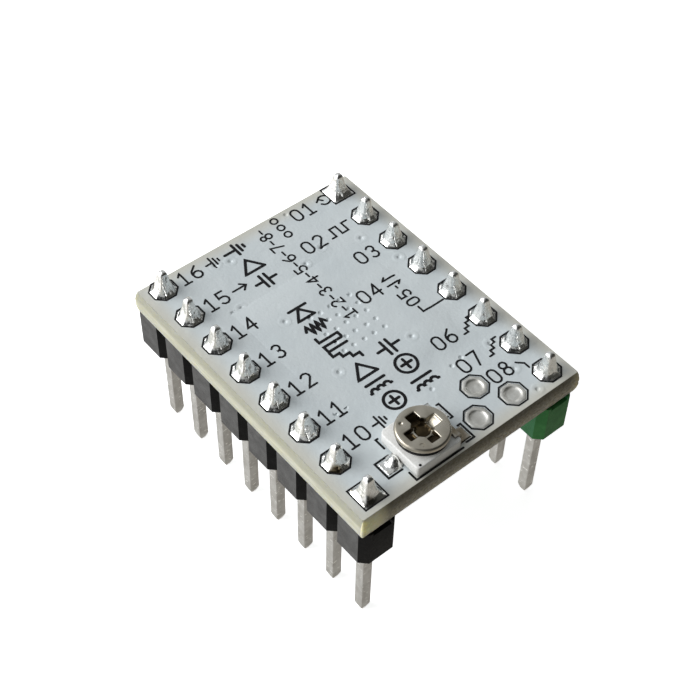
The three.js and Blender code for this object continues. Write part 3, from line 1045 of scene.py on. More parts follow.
def add_trimmer_marks(form):
    """The printed corner of the trimmer's place and the outlines of its pads."""
    add_stroke(form, [(6.62, -3.76), (6.62, -3.89), (7.31, -3.89)], FINE_STROKE)
    add_stroke(form, [(9.26, -3.89), (9.84, -3.89), (9.84, -0.66)], FINE_STROKE)
    add_stroke(form, [(7.77, -4.02), (7.77, -4.93), (8.88, -4.93), (8.88, -4.02)], FINE_STROKE)
    add_stroke(form, [(6.9, 0.1), (6.9, 0.25), (8.0, 0.25), (8.0, 0.1)], FINE_STROKE)
    add_stroke(form, [(8.6, 0.05), (8.6, 0.25), (9.68, 0.25), (9.68, -0.3)], FINE_STROKE)


def top_marks():
    form = Form()
    add_pin_labels(form)
    add_pad_outlines(form)
    add_circuit_band(form)
    add_small_numbers(form)
    add_trimmer_marks(form)
    return form


to_piece("top_printed_marks", top_marks(), [INK], sharp=60)

# ---- Solder joints and pins -----------------------------------------------------------------

# Half the width of a joint at each height over the board: a fillet, then the pin under a thin coat.
JOINT_PROFILE = [
    (0.0, 0.72), (0.05, 0.655), (0.12, 0.59), (0.25, 0.505), (0.45, 0.425), (0.7, 0.35),
    (0.9, 0.305), (1.1, 0.275), (1.25, 0.255), (1.36, 0.23), (1.43, 0.185), (1.475, 0.115), (1.488, 0.05),
]
JOINT_LEVELS = 34
JOINT_SIDES = 48
JOINT_HEIGHT = SOLDER_TOP - BOARD_TOP


def octagon_reach(turn):
    return 1 / math.cos((turn + math.pi / 8) % (math.pi / 4) - math.pi / 8)


def square_reach(turn, power):
    return (abs(math.cos(turn)) ** power + abs(math.sin(turn)) ** power) ** (-1 / power)


def joint_form(place, on_square, seed):
    dice = random.Random(seed)
    drift = Vector((dice.uniform(-100, 100), dice.uniform(-100, 100), 0))
    lean = Vector((dice.uniform(-0.02, 0.02), dice.uniform(-0.02, 0.02)))
    slack = dice.uniform(-0.02, 0.02)
    tall = dice.uniform(0.95, 0.998)
    form = Form()
    rings = []
    for level in range(JOINT_LEVELS):
        share = (level / (JOINT_LEVELS - 1)) ** 1.5
        z = JOINT_PROFILE[-1][0] * share
        half = between(z, JOINT_PROFILE)
        to_pin = smooth_step(z, 0.02, 0.6)
        bulge = smooth_step(z, 0.0, 0.15) * (1 - smooth_step(z, 0.6, 1.2))
        ring = []
        for side in range(JOINT_SIDES):
            turn = 2 * math.pi * side / JOINT_SIDES
            base = square_reach(turn, 9) if on_square else octagon_reach(turn)
            pin_shape = square_reach(turn, 4.6 - 1.8 * smooth_step(z, 1.1, 1.5))
            reach = (1 - to_pin) * base + to_pin * pin_shape
            ripple = noise.noise(Vector((math.cos(turn) * 1.3, math.sin(turn) * 1.3, z * 1.2)) + drift)
            radius = half * reach * (1 + bulge * (0.1 * ripple + slack))
            x = place.x + radius * math.cos(turn) + lean.x * z
            y = place.y + radius * math.sin(turn) + lean.y * z
            ring.append((x, y, BOARD_TOP + z * tall))
        rings.append(ring)
    skirt = [(x, y, BOARD_TOP - 0.03) for x, y, _ in rings[0]]
    made = form.loft([skirt, *rings])
    form.face(reversed(made[0]))
    form.fan(made[-1], (place.x + lean.x, place.y + lean.y, BOARD_TOP + JOINT_HEIGHT * tall))
    return form


def stained_coat(name, off_x, off_y, radius, colour):
    place = PIN_PLACES[name]
    stain = (place.x + off_x, place.y + off_y, BOARD_TOP + 0.05, radius)
    return solder_finish(f"stained_solder_{name}", stain, colour)


# Two joints are dark low down: burnt flux on one, a bare dull patch on the other.
SPECIAL_COATS = {
    "front_7": stained_coat("front_7", 0.55, -0.45, 0.75, (0.2, 0.14, 0.05)),
    "front_8": stained_coat("front_8", 0.5, -0.3, 0.72, (0.07, 0.065, 0.05)),
}

PIN_HALF = 0.32
PIN_CORNER = 0.05
# Height over a pin's end and half its width there, rounded at the very tip.
PIN_TAPER = [(0.0, 0.13), (0.03, 0.17), (0.1, 0.2), (0.42, 0.3), (0.52, 0.32)]
# Depth under the pin's other end, inside the solder.
PIN_BURIED_TAPER = [(0.95, 0.32), (0.8, 0.28), (0.6, 0.22), (0.4, 0.18), (0.2, 0.14), (0.0, 0.1)]


def pin_form(node):
    low, high = span(node)
    x, y = (low.x + high.x) / 2, (low.y + high.y) / 2
    ends = [(low.z + off, half) for off, half in PIN_TAPER]
    body = [(low.z + PIN_TAPER[-1][0] + 0.6 * i, PIN_HALF) for i in range(1, 9)]
    far = [(high.z - off, half) for off, half in PIN_BURIED_TAPER]
    form = Form()
    rings = []
    for z, half in ends + body + far:
        outline = rounded_rectangle(half, half, min(PIN_CORNER, half * 0.5), 3, x, y)
        rings.append(at_height(outline, z))
    form.closed_loft(rings)
    return form


for index, name in enumerate(PIN_NAMES):
    joint = joint_form(PIN_PLACES[name], name in SQUARE_PADS, index + 5)
    coat = SPECIAL_COATS.get(name, SOLDER)
    to_piece(f"solder_fillet_{name}", joint, [coat], [f"solder_joint_{name}"], sharp=50)
    to_piece(f"square_pin_{name}", pin_form(f"pin_{name}"), [PIN], [f"pin_{name}"], sharp=30)

# ---- Header strips --------------------------------------------------------------------------

STRIP_CHAMFER = 0.45
STRIP_EDGE = 0.05
STRIP_GROOVE_HALF = 0.62
STRIP_GROOVE_DEPTH = 0.22
BLOCK_JOIN = 0.02


def strip_outline(low, high, inset):
    """The chain of chamfered blocks, counter-clockwise, drawn in by an inset."""
    side = []
    gap = BLOCK_JOIN / 2
    notch_y = low.y + STRIP_CHAMFER
    for number in NUMBERS:
        x = PIN_PLACES[f"front_{number}"].x
        left, right = x - PITCH / 2, x + PITCH / 2
        side.append((left + inset, notch_y) if number == 1 else (left + gap, notch_y + inset))
        side += [(left + STRIP_CHAMFER, low.y + inset), (right - STRIP_CHAMFER, low.y + inset)]
        side.append((right - inset, notch_y) if number == 8 else (right - gap, notch_y + inset))
    middle_y = (low.y + high.y) / 2
    return side + [(x, 2 * middle_y - y) for x, y in reversed(side)]


def strip_form(node):
    """The chain of blocks, with a rail along each side of the groove in its top."""
    low, high = span(node)
    middle_y = (low.y + high.y) / 2
    floor = high.z - STRIP_GROOVE_DEPTH
    eased = STRIP_EDGE * 0.3
    levels = [(low.z, STRIP_EDGE), (low.z + eased, eased), (low.z + STRIP_EDGE, 0.0), (floor, 0.0)]
    form = Form()
    form.closed_loft([at_height(strip_outline(low, high, inset), z) for z, inset in levels])
    outline = strip_outline(low, high, 0.0)
    count = len(outline) // 2
    for sign, edge in ((-1, outline[:count]), (1, outline[count:])):
        inner_y = middle_y + sign * STRIP_GROOVE_HALF
        rail = [*edge, (edge[-1][0], inner_y), (edge[0][0], inner_y)]
        form.closed_loft([at_height(rail, floor), at_height(rail, high.z)])
    # Painted light and shade: the long sides take the lit copy of the nylon, and every other face takes
    # the shaded copy.
    form.repaint(lambda normal: 0 if abs(normal.y) > 0.9 else 1)
    return form


STRIPS = (
    ("front", [BLACK_PAINTED_LIT, BLACK_PAINTED_SHADE], "black_plastic"),
    ("back", [GREEN_PAINTED_LIT, GREEN_PAINTED_SHADE], "green_plastic"),
)
for row, nylon, slot in STRIPS:
    node = f"header_housing_{row}"
    to_piece(f"header_strip_{row}", strip_form(node), nylon, [node], sharp=25)

# ---- Spare pads -----------------------------------------------------------------------------

DISH_RADIUS = 0.47
DISH_DEPTH = 0.1


PAD_SIDES = 32
PAD_RISE = 0.012
# Radius of each ring of a spare pad and its rise over the levelled solder, from the rim inwards.
PAD_PROFILE = [
    (0.66, 0.0), (0.6, 0.004), (0.53, 0.0), (DISH_RADIUS + 0.03, -0.012), (DISH_RADIUS, -0.04),
    (DISH_RADIUS - 0.05, -0.075), (DISH_RADIUS - 0.15, -0.09), (0.15, -DISH_DEPTH),
]


def spare_pad_form(place):
    """A levelled ring of solder on the copper with the sunken plug inside it."""
    rim = []
    for x, y in circle(1.0, PAD_SIDES):
        reach = (SPARE_OPENING - 0.02) * octagon_reach(math.atan2(y, x))
        rim.append((place.x + reach * x, place.y + reach * y))
    top = BOARD_TOP + PAD_RISE
    rings = [at_height(rim, BOARD_TOP - 0.03), at_height(rim, BOARD_TOP - 0.005)]
    for radius, rise in PAD_PROFILE:
        rings.append(at_height(circle(radius, PAD_SIDES, place.x, place.y), top + rise))
    form = Form()
    form.fan(form.loft(rings)[-1], (place.x, place.y, top - DISH_DEPTH))
    return form


for index, place in enumerate(SPARE_PADS):
    node = f"spare_hole_plug_{index + 1}"
    to_piece(f"spare_pad_{index + 1}", spare_pad_form(place), [LEVELLED], [node], sharp=50)
    under = spare_pad_form(place).turned_over()
    to_piece(f"spare_pad_under_{index + 1}", under, [LEVELLED], sharp=50)

# ---- Trimmer --------------------------------------------------------------------------------

ROTOR_SIDES = 96
ROTOR_LOW, ROTOR_HIGH = span("trimmer_rotor")
ROTOR_RADIUS = (ROTOR_HIGH.x - ROTOR_LOW.x) / 2
ROTOR_PLATE = 0.27
SLOT_REACH = 1.05
SLOT_HALF = 0.31
SLOT_HUB = 0.6
# Depth of the recess under the rotor's top at each distance from its axis. The arms slope up.
SLOT_DEPTH = [
    (0.0, 0.4), (0.34, 0.4), (0.39, 0.37), (0.43, 0.29), (0.48, 0.265), (0.53, 0.29), (0.58, 0.35),
    (0.66, 0.35), (0.74, 0.3), (0.84, 0.22), (0.95, 0.15), (1.1, 0.1),
]
# Radii of the hole in the hub and of the outside of the ring round it.
HOLE_IN_HUB = 0.42
HUB_RING = 0.56
ROTOR_NECK = 1.06
DIMPLE_PLACE = (TRIMMER.x - 0.86, TRIMMER.y - 0.74)
# Radius of each ring of the dimple and its rise over the rotor's face.
DIMPLE_PROFILE = [(0.15, 0.0), (0.12, -0.01), (0.085, -0.035), (0.05, -0.06)]
DIMPLE_DEPTH = 0.065
STAMP_PLACE = (TRIMMER.x + 0.86, TRIMMER.y - 0.8)
STAMP_RADIUS = 0.11
STAMP_DEPTH = 0.03


def cross_outline(length, width, hub, corner):
    """A cross recess with a round hub, counter-clockwise from the +X arm."""
    reach = math.sqrt(hub ** 2 - width ** 2)
    lean = math.degrees(math.asin(width / hub))
    quarter = [(length, 0.0)]
    quarter += arc(length - corner, width - corner, corner, 0, 90, 3)
    quarter += [(reach + 0.27, width), (reach + 0.14, width)]
    quarter += arc(0, 0, hub, lean, 90 - lean, 5)
    quarter += [(width, reach + 0.14), (width, reach + 0.27)]
    quarter += arc(width - corner, length - corner, corner, 0, 90, 3)
    outline = []
    for turn in range(4):
        cosine, sine = round(math.cos(math.pi / 2 * turn)), round(math.sin(math.pi / 2 * turn))
        outline += [(x * cosine - y * sine, x * sine + y * cosine) for x, y in quarter]
    return outline


def moved(outline, x=TRIMMER.x, y=TRIMMER.y):
    return [(px + x, py + y) for px, py in outline]


def slot_rings():
    """The recess from its rounded lip down its walls and in along its sloping floor."""
    top = ROTOR_HIGH.z
    rings = []
    for grow, drop in ((0.045, 0.0), (0.018, 0.012), (0.0, 0.04)):
        shape = cross_outline(SLOT_REACH + grow, SLOT_HALF + grow, SLOT_HUB + grow, 0.07)
        rings.append(at_height(moved(shape), top - drop))
    foot = cross_outline(SLOT_REACH - 0.015, SLOT_HALF - 0.015, SLOT_HUB - 0.015, 0.06)
    for share in (1.0, 0.96, 0.9, 0.82, 0.74, 0.66, 0.58, 0.5, 0.42, 0.34, 0.26, 0.18, 0.1):
        ring = []
        for x, y in foot:
            distance = math.hypot(x, y) * share
            lift = 0.03 if share == 1.0 else 0.0
            depth = max(0.05, between(distance, SLOT_DEPTH) - lift)
            ring.append((TRIMMER.x + x * share, TRIMMER.y + y * share, top - depth))
        rings.append(ring)
    return rings


def add_rotor_side(form):
    """The neck, the plate's edge and its rounded shoulder. Gives the outline of the flat face."""
    top = ROTOR_HIGH.z
    plate_low = top - ROTOR_PLATE
    edge = ROTOR_RADIUS
    profile = [
        (ROTOR_NECK - 0.02, ROTOR_LOW.z), (ROTOR_NECK, ROTOR_LOW.z + 0.01), (ROTOR_NECK, plate_low - 0.02),
        (ROTOR_NECK + 0.03, plate_low), (edge - 0.03, plate_low), (edge - 0.005, plate_low + 0.012),
        (edge, plate_low + 0.04), (edge - 0.004, top - 0.14), (edge - 0.02, top - 0.085),
        (edge - 0.05, top - 0.042), (edge - 0.09, top - 0.014), (edge - 0.125, top),
    ]
    made = form.loft([at_height(moved(circle(r, ROTOR_SIDES)), z) for r, z in profile])
    form.face(reversed(made[0]))
    return [form.points[i][:2] for i in made[-1]]


def paint_recess_shade(form):
    """Paints shade into the recess as dark metal, apart from the lit arm and the front of the hub's ring.
    """
    top = ROTOR_HIGH.z
    for i, face in enumerate(form.faces):
        x, y, z = (sum(form.points[c][axis] for c in face) / len(face) for axis in range(3))
        off = math.hypot(x - TRIMMER.x, y - TRIMMER.y)
        sunk = ROTOR_LOW.z + 0.02 < z < top - 0.06 and off < SLOT_REACH
        lit_arm = y > TRIMMER.y + 0.45
        back_of_ring = x - y < TRIMMER.x - TRIMMER.y - 0.1
        if sunk and not lit_arm and (off < HOLE_IN_HUB or off > HUB_RING or back_of_ring):
            form.paints[i] = 1


def rotor_form():
    """The turning plate: a cross recess, a round dimple and a stamped arch in its face."""
    top = ROTOR_HIGH.z
    form = Form()
    rim = add_rotor_side(form)
    recess = slot_rings()
    dimple = [at_height(circle(r, 16, *DIMPLE_PLACE), top + rise) for r, rise in DIMPLE_PROFILE]
    lip, stamp_floor = stamp_outlines(*STAMP_PLACE)
    stamp = [at_height(lip, top), at_height(stamp_floor, top - STAMP_DEPTH)]
    holes = [[point[:2] for point in rings[0]] for rings in (recess, dimple, stamp)]
    flat_region(form, rim, holes, top)
    form.fan(form.loft(recess)[-1], (TRIMMER.x, TRIMMER.y, top - SLOT_DEPTH[0][1]))
    form.fan(form.loft(dimple)[-1], (*DIMPLE_PLACE, top - DIMPLE_DEPTH))
    form.face(form.loft(stamp)[-1])
    # Painted shade: dark metal in the recess, away from the light.
    paint_recess_shade(form)
    return form


def stamp_outlines(x, y):
    """A small arch pressed in the rotor's face: its lip and its narrower floor."""
    outlines = []
    for half in (0.035, 0.02):
        outer = arc(x, y, STAMP_RADIUS + half, -20, 230, 10)
        inner = arc(x, y, STAMP_RADIUS - half, 230, -20, 10)
        outlines.append(outer + inner)
    return outlines


to_piece(
    "trimmer_slotted_rotor", rotor_form(), [NICKEL, SHADED_NICKEL], ["trimmer_rotor"],
    body="trimmer", sharp=38, weld=True,
)


def ring_form(inner, outer, low, high, sides=64, edge=0.02):
    """A flat ring with eased edges round the trimmer's axis."""
    form = Form()
    profile = [
        (inner, low + edge), (inner + edge, low), (outer - edge, low), (outer, low + edge),
        (outer, high - edge), (outer - edge, high), (inner + edge, high), (inner, high - edge),
    ]
    made = [form.ring(at_height(moved(circle(r, sides)), z)) for r, z in profile]
    for lower, upper in zip(made, made[1:] + made[:1]):
        form.wall(lower, upper)
    return form


WIPER_HOLE = 0.33
WIPER_THICKNESS = 0.1
WIPER_FOOT = ((-0.12, -1.02), (0.12, -0.86))


def wiper_form():
    """The ring under the rotor with its contact foot on the track."""
    low, high = span("trimmer_wiper")
    ring_low = high.z - WIPER_THICKNESS
    near, far = moved(WIPER_FOOT)
    form = ring_form(WIPER_HOLE, (high.x - low.x) / 2, ring_low, high.z)
    form.add(rounded_block((*near, low.z), (*far, ring_low + 0.01), 0.05, 0.03))
    return form


to_piece(
    "trimmer_wiper_spring", wiper_form(), [NICKEL], ["trimmer_wiper"], body="trimmer", sharp=40,
)

RIVET_LOW, RIVET_HIGH = span("trimmer_rivet")
RIVET_TIP = 0.24


def rivet_form():
    radius = (RIVET_HIGH.x - RIVET_LOW.x) / 2
    profile = [
        (radius - 0.02, RIVET_LOW.z), (radius, RIVET_LOW.z + 0.03), (radius, ROTOR_LOW.z - 0.1),
        (RIVET_TIP, ROTOR_LOW.z - 0.06), (RIVET_TIP, ROTOR_LOW.z - 0.02),
    ]
    form = Form()
    form.closed_loft([at_height(moved(circle(r, 40)), z) for r, z in profile])
    return form


# Painted shade: the rivet, seen deep in the hub's hole, takes the near-black metal.
to_piece("trimmer_hollow_rivet", rivet_form(), [SHADED_NICKEL], ["trimmer_rivet"], sharp=40)

BASE_LOW, BASE_HIGH = span("trimmer_ceramic_base")
TRACK_INNER = 0.8
TRACK_START, TRACK_END = 130, 410


def track_form():
    """The horseshoe of carbon film, a little proud of the ceramic; its outer edge runs past the CAD track
    as painted shade.
    """
    low, high = span("trimmer_resistive_track")
    # Painted shade: the black film runs 0.06 past the CAD track and stands partly for the dark gap under
    # the rotor's rim.
    outer = (high.x - low.x) / 2 + 0.06
    foot = low.z - 0.01
    form = Form()
    made = []
    for radius, z in (
        (TRACK_INNER, foot), (TRACK_INNER + 0.02, high.z), (outer - 0.02, high.z), (outer, foot),
    ):
        bend = arc(TRIMMER.x, TRIMMER.y, radius, TRACK_START, TRACK_END, 60)
        made.append(form.ring(at_height(bend, z)))
    for lower, upper in zip(made, made[1:]):
        form.wall(upper, lower, closed=False)
    form.wall(made[0], made[-1], closed=False)
    form.face([ring[0] for ring in made])
    form.face([ring[-1] for ring in reversed(made)])
    return form


to_piece(
    "trimmer_carbon_track", track_form(), [FILM], ["trimmer_resistive_track"], sharp=40,
)

BASE_EDGE = 0.1
# Each corner of the ceramic: its sides along X and Y, its start angle and its radius.
BASE_CORNERS = ((1, 1, 0, 0.2), (-1, 1, 90, 0.3), (-1, -1, 180, 0.42), (1, -1, 270, 0.16))


def base_form():
    """Alumina with its corners rounded, each by its own radius."""
    half_x, half_y = (BASE_HIGH.x - BASE_LOW.x) / 2, (BASE_HIGH.y - BASE_LOW.y) / 2
    levels = [(BASE_LOW.z, 0.05), (BASE_LOW.z + 0.03, 0.015), (BASE_LOW.z + 0.07, 0.0)]
    levels += [(BASE_HIGH.z - off, inset) for off, inset in quarter_round(BASE_EDGE, 4)]
    rings = []
    for z, inset in levels:
        outline = []
        for side_x, side_y, start, radius in BASE_CORNERS:
            centre_x = TRIMMER_BASE.x + side_x * (half_x - radius)
            centre_y = TRIMMER_BASE.y + side_y * (half_y - radius)
            outline += arc(centre_x, centre_y, radius - inset * 0.8, start, start + 90, 6)
        rings.append(at_height(outline, z))
    form = Form()
    form.closed_loft(rings)
    return form


to_piece(
    "trimmer_alumina_base", base_form(), [ALUMINA], ["trimmer_ceramic_base"], sharp=50,
)


DOT_PROFILE = [(0.085, -0.02), (0.08, 0.004), (0.06, 0.008)]


def dot_form():
    """The small black dot at the ceramic's front right corner."""
    x, y, top = TRIMMER_BASE.x + 1.39, TRIMMER_BASE.y - 1.25, BASE_HIGH.z
    form = Form()
    made = form.loft([at_height(circle(radius, 20, x, y), top + rise) for radius, rise in DOT_PROFILE])
    form.fan(made[-1], (x, y, top + 0.009))
    return form


to_piece("trimmer_corner_dot", dot_form(), [INK], sharp=60)

TAB_LOW, TAB_HIGH = span("trimmer_wiper_terminal")
SHEET = TAB_HIGH.z - TAB_LOW.z


def front_terminal_form():
    return rounded_block(TAB_LOW, (TAB_HIGH.x, BASE_LOW.y + 0.4, TAB_HIGH.z), 0.06, 0.03)


def end_terminal_form(node):
    """A clip: foot on the pad, riser up the ceramic's back and a lip over its top."""
    low, high = span(node)
    back = BASE_HIGH.y
    foot_top, lip_low = low.z + SHEET, high.z - SHEET
    outline = [
        (back - 0.35, low.z), (high.y, low.z), (high.y, foot_top), (back + 0.2, foot_top),
        (back + 0.145, foot_top + 0.05), (back + 0.13, high.z - 0.06), (back + 0.07, high.z),
        (back - 0.27, high.z), (back - 0.3, high.z - 0.03), (back - 0.3, lip_low),
        (back + 0.005, lip_low), (back + 0.005, foot_top), (back - 0.35, foot_top),
    ]
    form = Form()
    left = form.ring([(low.x, y, z) for y, z in outline])
    right = form.ring([(high.x, y, z) for y, z in outline])
    form.wall(right, left)
    form.face(reversed(left))
    form.face(right)
    return form


to_piece(
    "trimmer_front_tab", front_terminal_form(), [PIN], ["trimmer_wiper_terminal"], sharp=40,
)
for side, coat in (("left", PIN), ("right", FLUXED)):
    node = f"trimmer_end_terminal_{side}"
    clip = end_terminal_form(node)
    to_piece(f"trimmer_clip_{side}", clip, [coat], [node], sharp=35, bevel=0.02)


def puddle_form(near, far, height):
    """Solder over a pad: a thin film with a rim, and the height that a function adds."""
    size_x, size_y = far[0] - near[0], far[1] - near[1]
    steps = 22
    form = Form()
    rows = []
    for j in range(steps + 1):
        row = []
        for i in range(steps + 1):
            u, v = i / steps, j / steps
            x, y = near[0] + size_x * u, near[1] + size_y * v
            rim = smooth_step(min(min(u, 1 - u) * size_x, min(v, 1 - v) * size_y), 0.0, 0.1)
            row.append((x, y, BOARD_TOP - 0.02 + rim * (0.05 + height(x, y))))
        rows.append(form.ring(row))
    for row, following in zip(rows, rows[1:]):
        form.wall(row, following, closed=False)
    return form


def front_puddle(x, y):
    """Flat at the front, with a dome that climbs the ceramic's wall."""
    dome = math.exp(-(((x - TRIMMER_BASE.x) / 0.38) ** 2 + ((y + 4.02) / 0.4) ** 2) ** 1.4)
    ears = math.exp(-((abs(x - TRIMMER_BASE.x - 0.05) - 0.5) / 0.07) ** 2 - ((y + 3.98) / 0.1) ** 2)
    return 0.4 * dome + 0.14 * ears


def rear_puddle(centre_x):
    def height(x, y):
        edge = smooth_step(BASE_HIGH.y + 0.5 - y, 0.0, 0.5)
        return 0.16 * edge * math.exp(-((x - centre_x) / 0.5) ** 4) + 0.02
    return height


# Each puddle: its side, two opposite corners, its height and its finish.
REAR_FOOT = BASE_HIGH.y + 0.12
PUDDLES = (
    ("front", (7.84, -4.86), (8.81, -3.84), front_puddle, SOLDER),
    ("left", (6.97, REAR_FOOT), (7.93, 0.18), rear_puddle(7.45), SOLDER),
    ("right", (8.66, REAR_FOOT), (9.61, 0.18), rear_puddle(9.13), FLUXED),
)
for side, near, far, height, coat in PUDDLES:
    to_piece(f"trimmer_solder_{side}", puddle_form(near, far, height), [coat], sharp=60)

# ---- Parts under the board ------------------------------------------------------------------

CAP_LENGTH = 0.17
FILLET = 0.16


def fillet_form(x, half_y, y, out):
    """A wedge of solder that climbs a chip part's end, which faces out."""
    back = x - out * 0.03
    slope = [(x + out * off, BOARD_BOTTOM - 1.6 * climb) for off, climb in quarter_round(FILLET, 5)]
    profile = [(back, BOARD_BOTTOM), *reversed(slope), (back, BOARD_BOTTOM - 1.6 * FILLET)]
    rings = [[(px, y + side * half_y, z) for px, z in profile] for side in (out, -out)]
    form = Form()
    form.closed_loft(rings)
    return form


def end_caps(low, high, share):
    """The plated ends of a chip part, with their solder."""
    reach = (high.x - low.x) * share
    form = Form()
    form.add(rounded_block((low.x, low.y, low.z), (low.x + reach, high.y, high.z), 0.06, 0.05))
    form.add(rounded_block((high.x - reach, low.y, low.z), (high.x, high.y, high.z), 0.06, 0.05))
    half_y, y = (high.y - low.y) / 2 - 0.03, (high.y + low.y) / 2
    form.add(fillet_form(low.x + 0.02, half_y, y, -1))
    form.add(fillet_form(high.x - 0.02, half_y, y, 1))
    return form


def brackets(left, right, front, back, arm):
    """Four printed corners round a part, on the underside."""
    form = Form()
    for x, inward in ((left, arm), (right, -arm)):
        for y, turn in ((front, arm), (back, -arm)):
            corner = [(x + inward, y), (x, y), (x, y + turn)]
            add_stroke(form, corner, FINE_STROKE, height=level_mask)
    return form.turned_over()


def part_marks(low, high, gap=0.22):
    front, back = low.y - gap, high.y + gap
    arm = min(0.45, (back - front) / 3)
    return brackets(low.x - FILLET - gap, high.x + FILLET + gap, front, back, arm)


def level_mask(x, y):
    return BOARD_TOP


def add_chip_part(node):
    """A capacitor or resistor: its body, its plated ends with their solder, and its brackets."""
    low, high = span(node)
    sunk = 0.02
    body_low = (low.x + CAP_LENGTH, low.y + sunk, low.z + sunk)
    body_high = (high.x - CAP_LENGTH, high.y - sunk, high.z - 0.01)
    body = rounded_block(body_low, body_high, 0.04, 0.03)
    slot, finish, share = ("resistor_black", GLAZE, 0.16)
    if "capacitor" in node:
        slot, finish, share = ("capacitor_ceramic", CAPACITOR, 0.22)
    to_piece(f"{node}_body", body, [finish], [node], sharp=40)
    to_piece(f"{node}_ends", end_caps(low, high, share), [PIN], sharp=40)
    to_piece(f"{node}_marks", part_marks(low, high), [INK], sharp=60)


LEADS_PER_SIDE = 8
LEAD_PITCH = 0.5
LEAD_HALF = 0.12
LEAD_REACH = 0.38
LEAD_RISE = 0.2


def chip_leads(low, high):
    """The flat leads at the package's four edges."""
    form = Form()
    for i in range(LEADS_PER_SIDE):
        off = (i - (LEADS_PER_SIDE - 1) / 2) * LEAD_PITCH
        for side in (-1, 1):
            for out, along in ((0, 1), (1, 0)):
                edge = CHIP[out] + side * (high[out] - low[out]) / 2
                ends = sorted((edge - side * LEAD_REACH, edge + side * 0.015))
                near, far = [0, 0, high.z - LEAD_RISE], [0, 0, BOARD_BOTTOM]
                near[out], far[out] = ends
                near[along], far[along] = CHIP[along] + off - LEAD_HALF, CHIP[along] + off + LEAD_HALF
                form.add(rounded_block(near, far, 0.05, 0.02, 2))
    return form


CHIP_DOT_PROFILE = [(0.19, -0.008), (0.2, 0.0), (0.2, 0.02)]


def add_driver_chip():
    """The package with its leads, thermal pad, corner dot and printed brackets."""
    low, high = span("driver_chip")
    body = rounded_block(low, high, 0.06, 0.04)
    to_piece("driver_chip_body", body, [EPOXY], ["driver_chip"], sharp=40)
    to_piece("driver_chip_leads", chip_leads(low, high), [PIN], sharp=40)
    pad = rounded_block(*span("driver_chip_pad"), 0.2, 0.02)
    to_piece("driver_chip_heat_pad", pad, [LEVELLED], ["driver_chip_pad"], sharp=40)
    x, y = low.x + 0.6, low.y + 0.6
    dot = Form()
    rings = [at_height(circle(r, 24, x, y), low.z + rise) for r, rise in CHIP_DOT_PROFILE]
    dot.closed_loft(rings)
    to_piece("driver_chip_dot", dot, [MASK], sharp=60)
    marks = brackets(low.x - 0.3, high.x + 0.3, low.y - 0.3, high.y + 0.3, 0.6)
    to_piece("driver_chip_marks", marks, [INK], sharp=60)


add_driver_chip()
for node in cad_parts:
    if "capacitor" in node or "resistor" in node:
        add_chip_part(node)

# ---- Camera, light and floor ----------------------------------------------------------------

LENS = 74.227
SENSOR = 36.0
VIEW_AZIMUTH = 48.888
VIEW_ELEVATION = 49.926
VIEW_ROLL = 1.681
VIEW_OFFSET = (0.070, 1.140, 79.587)


def add_camera():
    """A camera in front of the board, above it, with a point near its top's middle in view."""
    azimuth, elevation, roll = (math.radians(a) for a in (VIEW_AZIMUTH, VIEW_ELEVATION, VIEW_ROLL))
    level = Vector((math.cos(azimuth), math.sin(azimuth), 0))
    outward = Vector((math.sin(azimuth), -math.cos(azimuth), 0))
    back = outward * math.cos(elevation) + Vector((0, 0, math.sin(elevation)))
    tall = back.cross(level)
    right = math.cos(roll) * level + math.sin(roll) * tall
    up = math.cos(roll) * tall - math.sin(roll) * level
    aside, above, away = VIEW_OFFSET
    place = Vector((0, 0, BOARD_TOP)) - aside * right - above * up + away * back
    data = bpy.data.cameras.new("camera")
    data.lens = LENS
    data.sensor_width = SENSOR
    data.clip_start = MM
    data.clip_end = 10.0
    camera = bpy.data.objects.new("camera", data)
    turn = Matrix((right, up, back)).transposed().to_4x4()
    camera.matrix_world = Matrix.Translation(place * MM) @ turn
    bpy.context.scene.collection.objects.link(camera)
    bpy.context.scene.camera = camera


add_camera()

WINDOW_AZIMUTH = Vector((-0.65, -0.76, 0)).normalized()
WINDOW_ELEVATION = 35.0
WINDOW_DISTANCE = 0.35
WINDOW_SIZE = (0.3, 0.24)
WINDOW_POWER = 0.95


def add_window():
    """A wide, soft window to the left of the board."""
    tilt = math.radians(WINDOW_ELEVATION)
    direction = WINDOW_AZIMUTH * math.cos(tilt) + Vector((0, 0, math.sin(tilt)))
    data = bpy.data.lights.new("window", "AREA")
    data.shape = "RECTANGLE"
    data.size, data.size_y = WINDOW_SIZE
    data.energy = WINDOW_POWER
    light = bpy.data.objects.new("window", data)
    light.location = direction * WINDOW_DISTANCE + Vector((0, 0, BOARD_TOP * MM))
    light.rotation_mode = "QUATERNION"
    light.rotation_quaternion = direction.to_track_quat("Z", "Y")
    bpy.context.scene.collection.objects.link(light)


add_window()

DARK_SIDE = (0.88, 0.47, 0.0)
# Shades of the room above and below the horizon, from the pale side to the dark one.
ROOM_ABOVE = [(0.15, (0.62, 0.64, 0.66)), (0.55, (0.42, 0.43, 0.43)), (0.8, (0.05, 0.05, 0.045))]
ROOM_BELOW = [(0.2, (0.6, 0.585, 0.55)), (0.9, (0.38, 0.36, 0.325))]
# A white sheet stands in front of the board, on the left.
SHEET_SIDE = (-0.5, -0.86, 0.05)
SHEET_GLOW = 0.9
# A dark stand, high in front of the board on the right.
STAND_SIDE = (0.485, -0.423, 0.765)


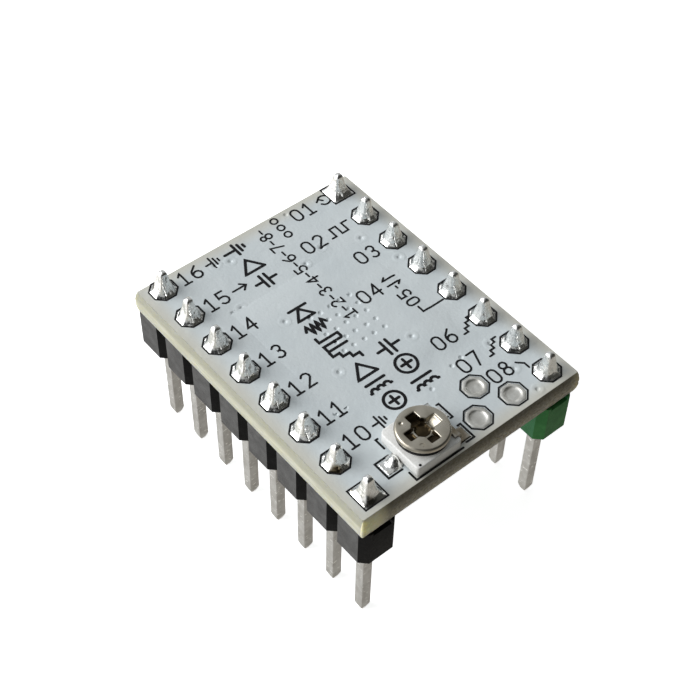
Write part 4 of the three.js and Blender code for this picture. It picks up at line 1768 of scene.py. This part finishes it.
def room_shade(room, side, stops):
    """A colour that eases along a direction, from stops of (position, colour)."""
    ramp = room.nodes.new("ShaderNodeValToRGB")
    ramp.color_ramp.interpolation = "EASE"
    room.fill(ramp.inputs["Fac"], room.fade(side, -1.0, 1.0, curve="LINEAR"))
    elements = ramp.color_ramp.elements
    while len(elements) < len(stops):
        elements.new(0.5)
    for element, (position, colour) in zip(elements, stops):
        element.position = position
        element.color = (*colour, 1.0)
    return ramp.outputs["Color"]


def add_room():
    """Room light: soft and pale on the window's side, dim on the far side, white to the eye."""
    world = bpy.data.worlds.new("room")
    bpy.context.scene.world = world
    world.use_nodes = True
    room = Shading(world.node_tree)
    room.nodes.clear()
    way = room.nodes.new("ShaderNodeTexCoord").outputs["Generated"]
    side = room.vector("DOT_PRODUCT", way, DARK_SIDE, "Value")
    above = room_shade(room, side, ROOM_ABOVE)
    below = room_shade(room, side, ROOM_BELOW)
    height = room.nodes.new("ShaderNodeSeparateXYZ")
    room.fill(height.inputs[0], way)
    upward = room.fade(height.outputs["Z"], -0.3, 0.0, curve="LINEAR")
    toward_sheet = room.vector("DOT_PRODUCT", way, SHEET_SIDE, "Value")
    sheet = room.fade(toward_sheet, 0.55, 0.95, 0.0, SHEET_GLOW)
    toward_stand = room.vector("DOT_PRODUCT", way, STAND_SIDE, "Value")
    unhidden = room.fade(toward_stand, 0.86, 0.97, 1.0, 0.08)
    lit = room.vector("ADD", room.mix(upward, below, above), sheet)
    light = room.nodes.new("ShaderNodeBackground")
    room.fill(light.inputs["Color"], room.vector("SCALE", lit, unhidden))
    white = room.nodes.new("ShaderNodeBackground")
    room.fill(white.inputs["Color"], (1, 1, 1))
    seen = room.nodes.new("ShaderNodeMixShader")
    to_eye = room.nodes.new("ShaderNodeLightPath").outputs["Is Camera Ray"]
    out = room.nodes.new("ShaderNodeOutputWorld")
    for socket, value in zip(seen.inputs, (to_eye, light.outputs[0], white.outputs[0])):
        room.fill(socket, value)
    room.fill(out.inputs["Surface"], seen.outputs[0])


add_room()

FLOOR_GLOW = 0.78
# In metres, unlike the forms of the board.
FLOOR_REACH = 1.5
FLOOR_HEIGHT = -1e-5


def add_floor():
    """A pale floor under the pin tips. It takes shadows and leaves the room's light as it is."""
    look = Finish("pale_floor", (0.95, 0.95, 0.95), 0.8)
    look.set("Base Color", look.mix(look.noise(0.01, 2.0), (0.97, 0.97, 0.97), (0.93, 0.93, 0.93)))
    look.set("Emission Color", (1.0, 1.0, 1.0))
    look.set("Emission Strength", FLOOR_GLOW)
    mesh = bpy.data.meshes.new("floor")
    mesh.from_pydata(at_height(square(FLOOR_REACH, 0, 0), FLOOR_HEIGHT), [], [(0, 1, 2, 3)])
    mesh.materials.append(look.material)
    floor = bpy.data.objects.new("floor", mesh)
    bpy.context.scene.collection.objects.link(floor)
    floor.visible_diffuse = False
    floor.visible_glossy = False
    floor.visible_shadow = False


add_floor()
bpy.context.scene.view_settings.view_transform = "Standard"
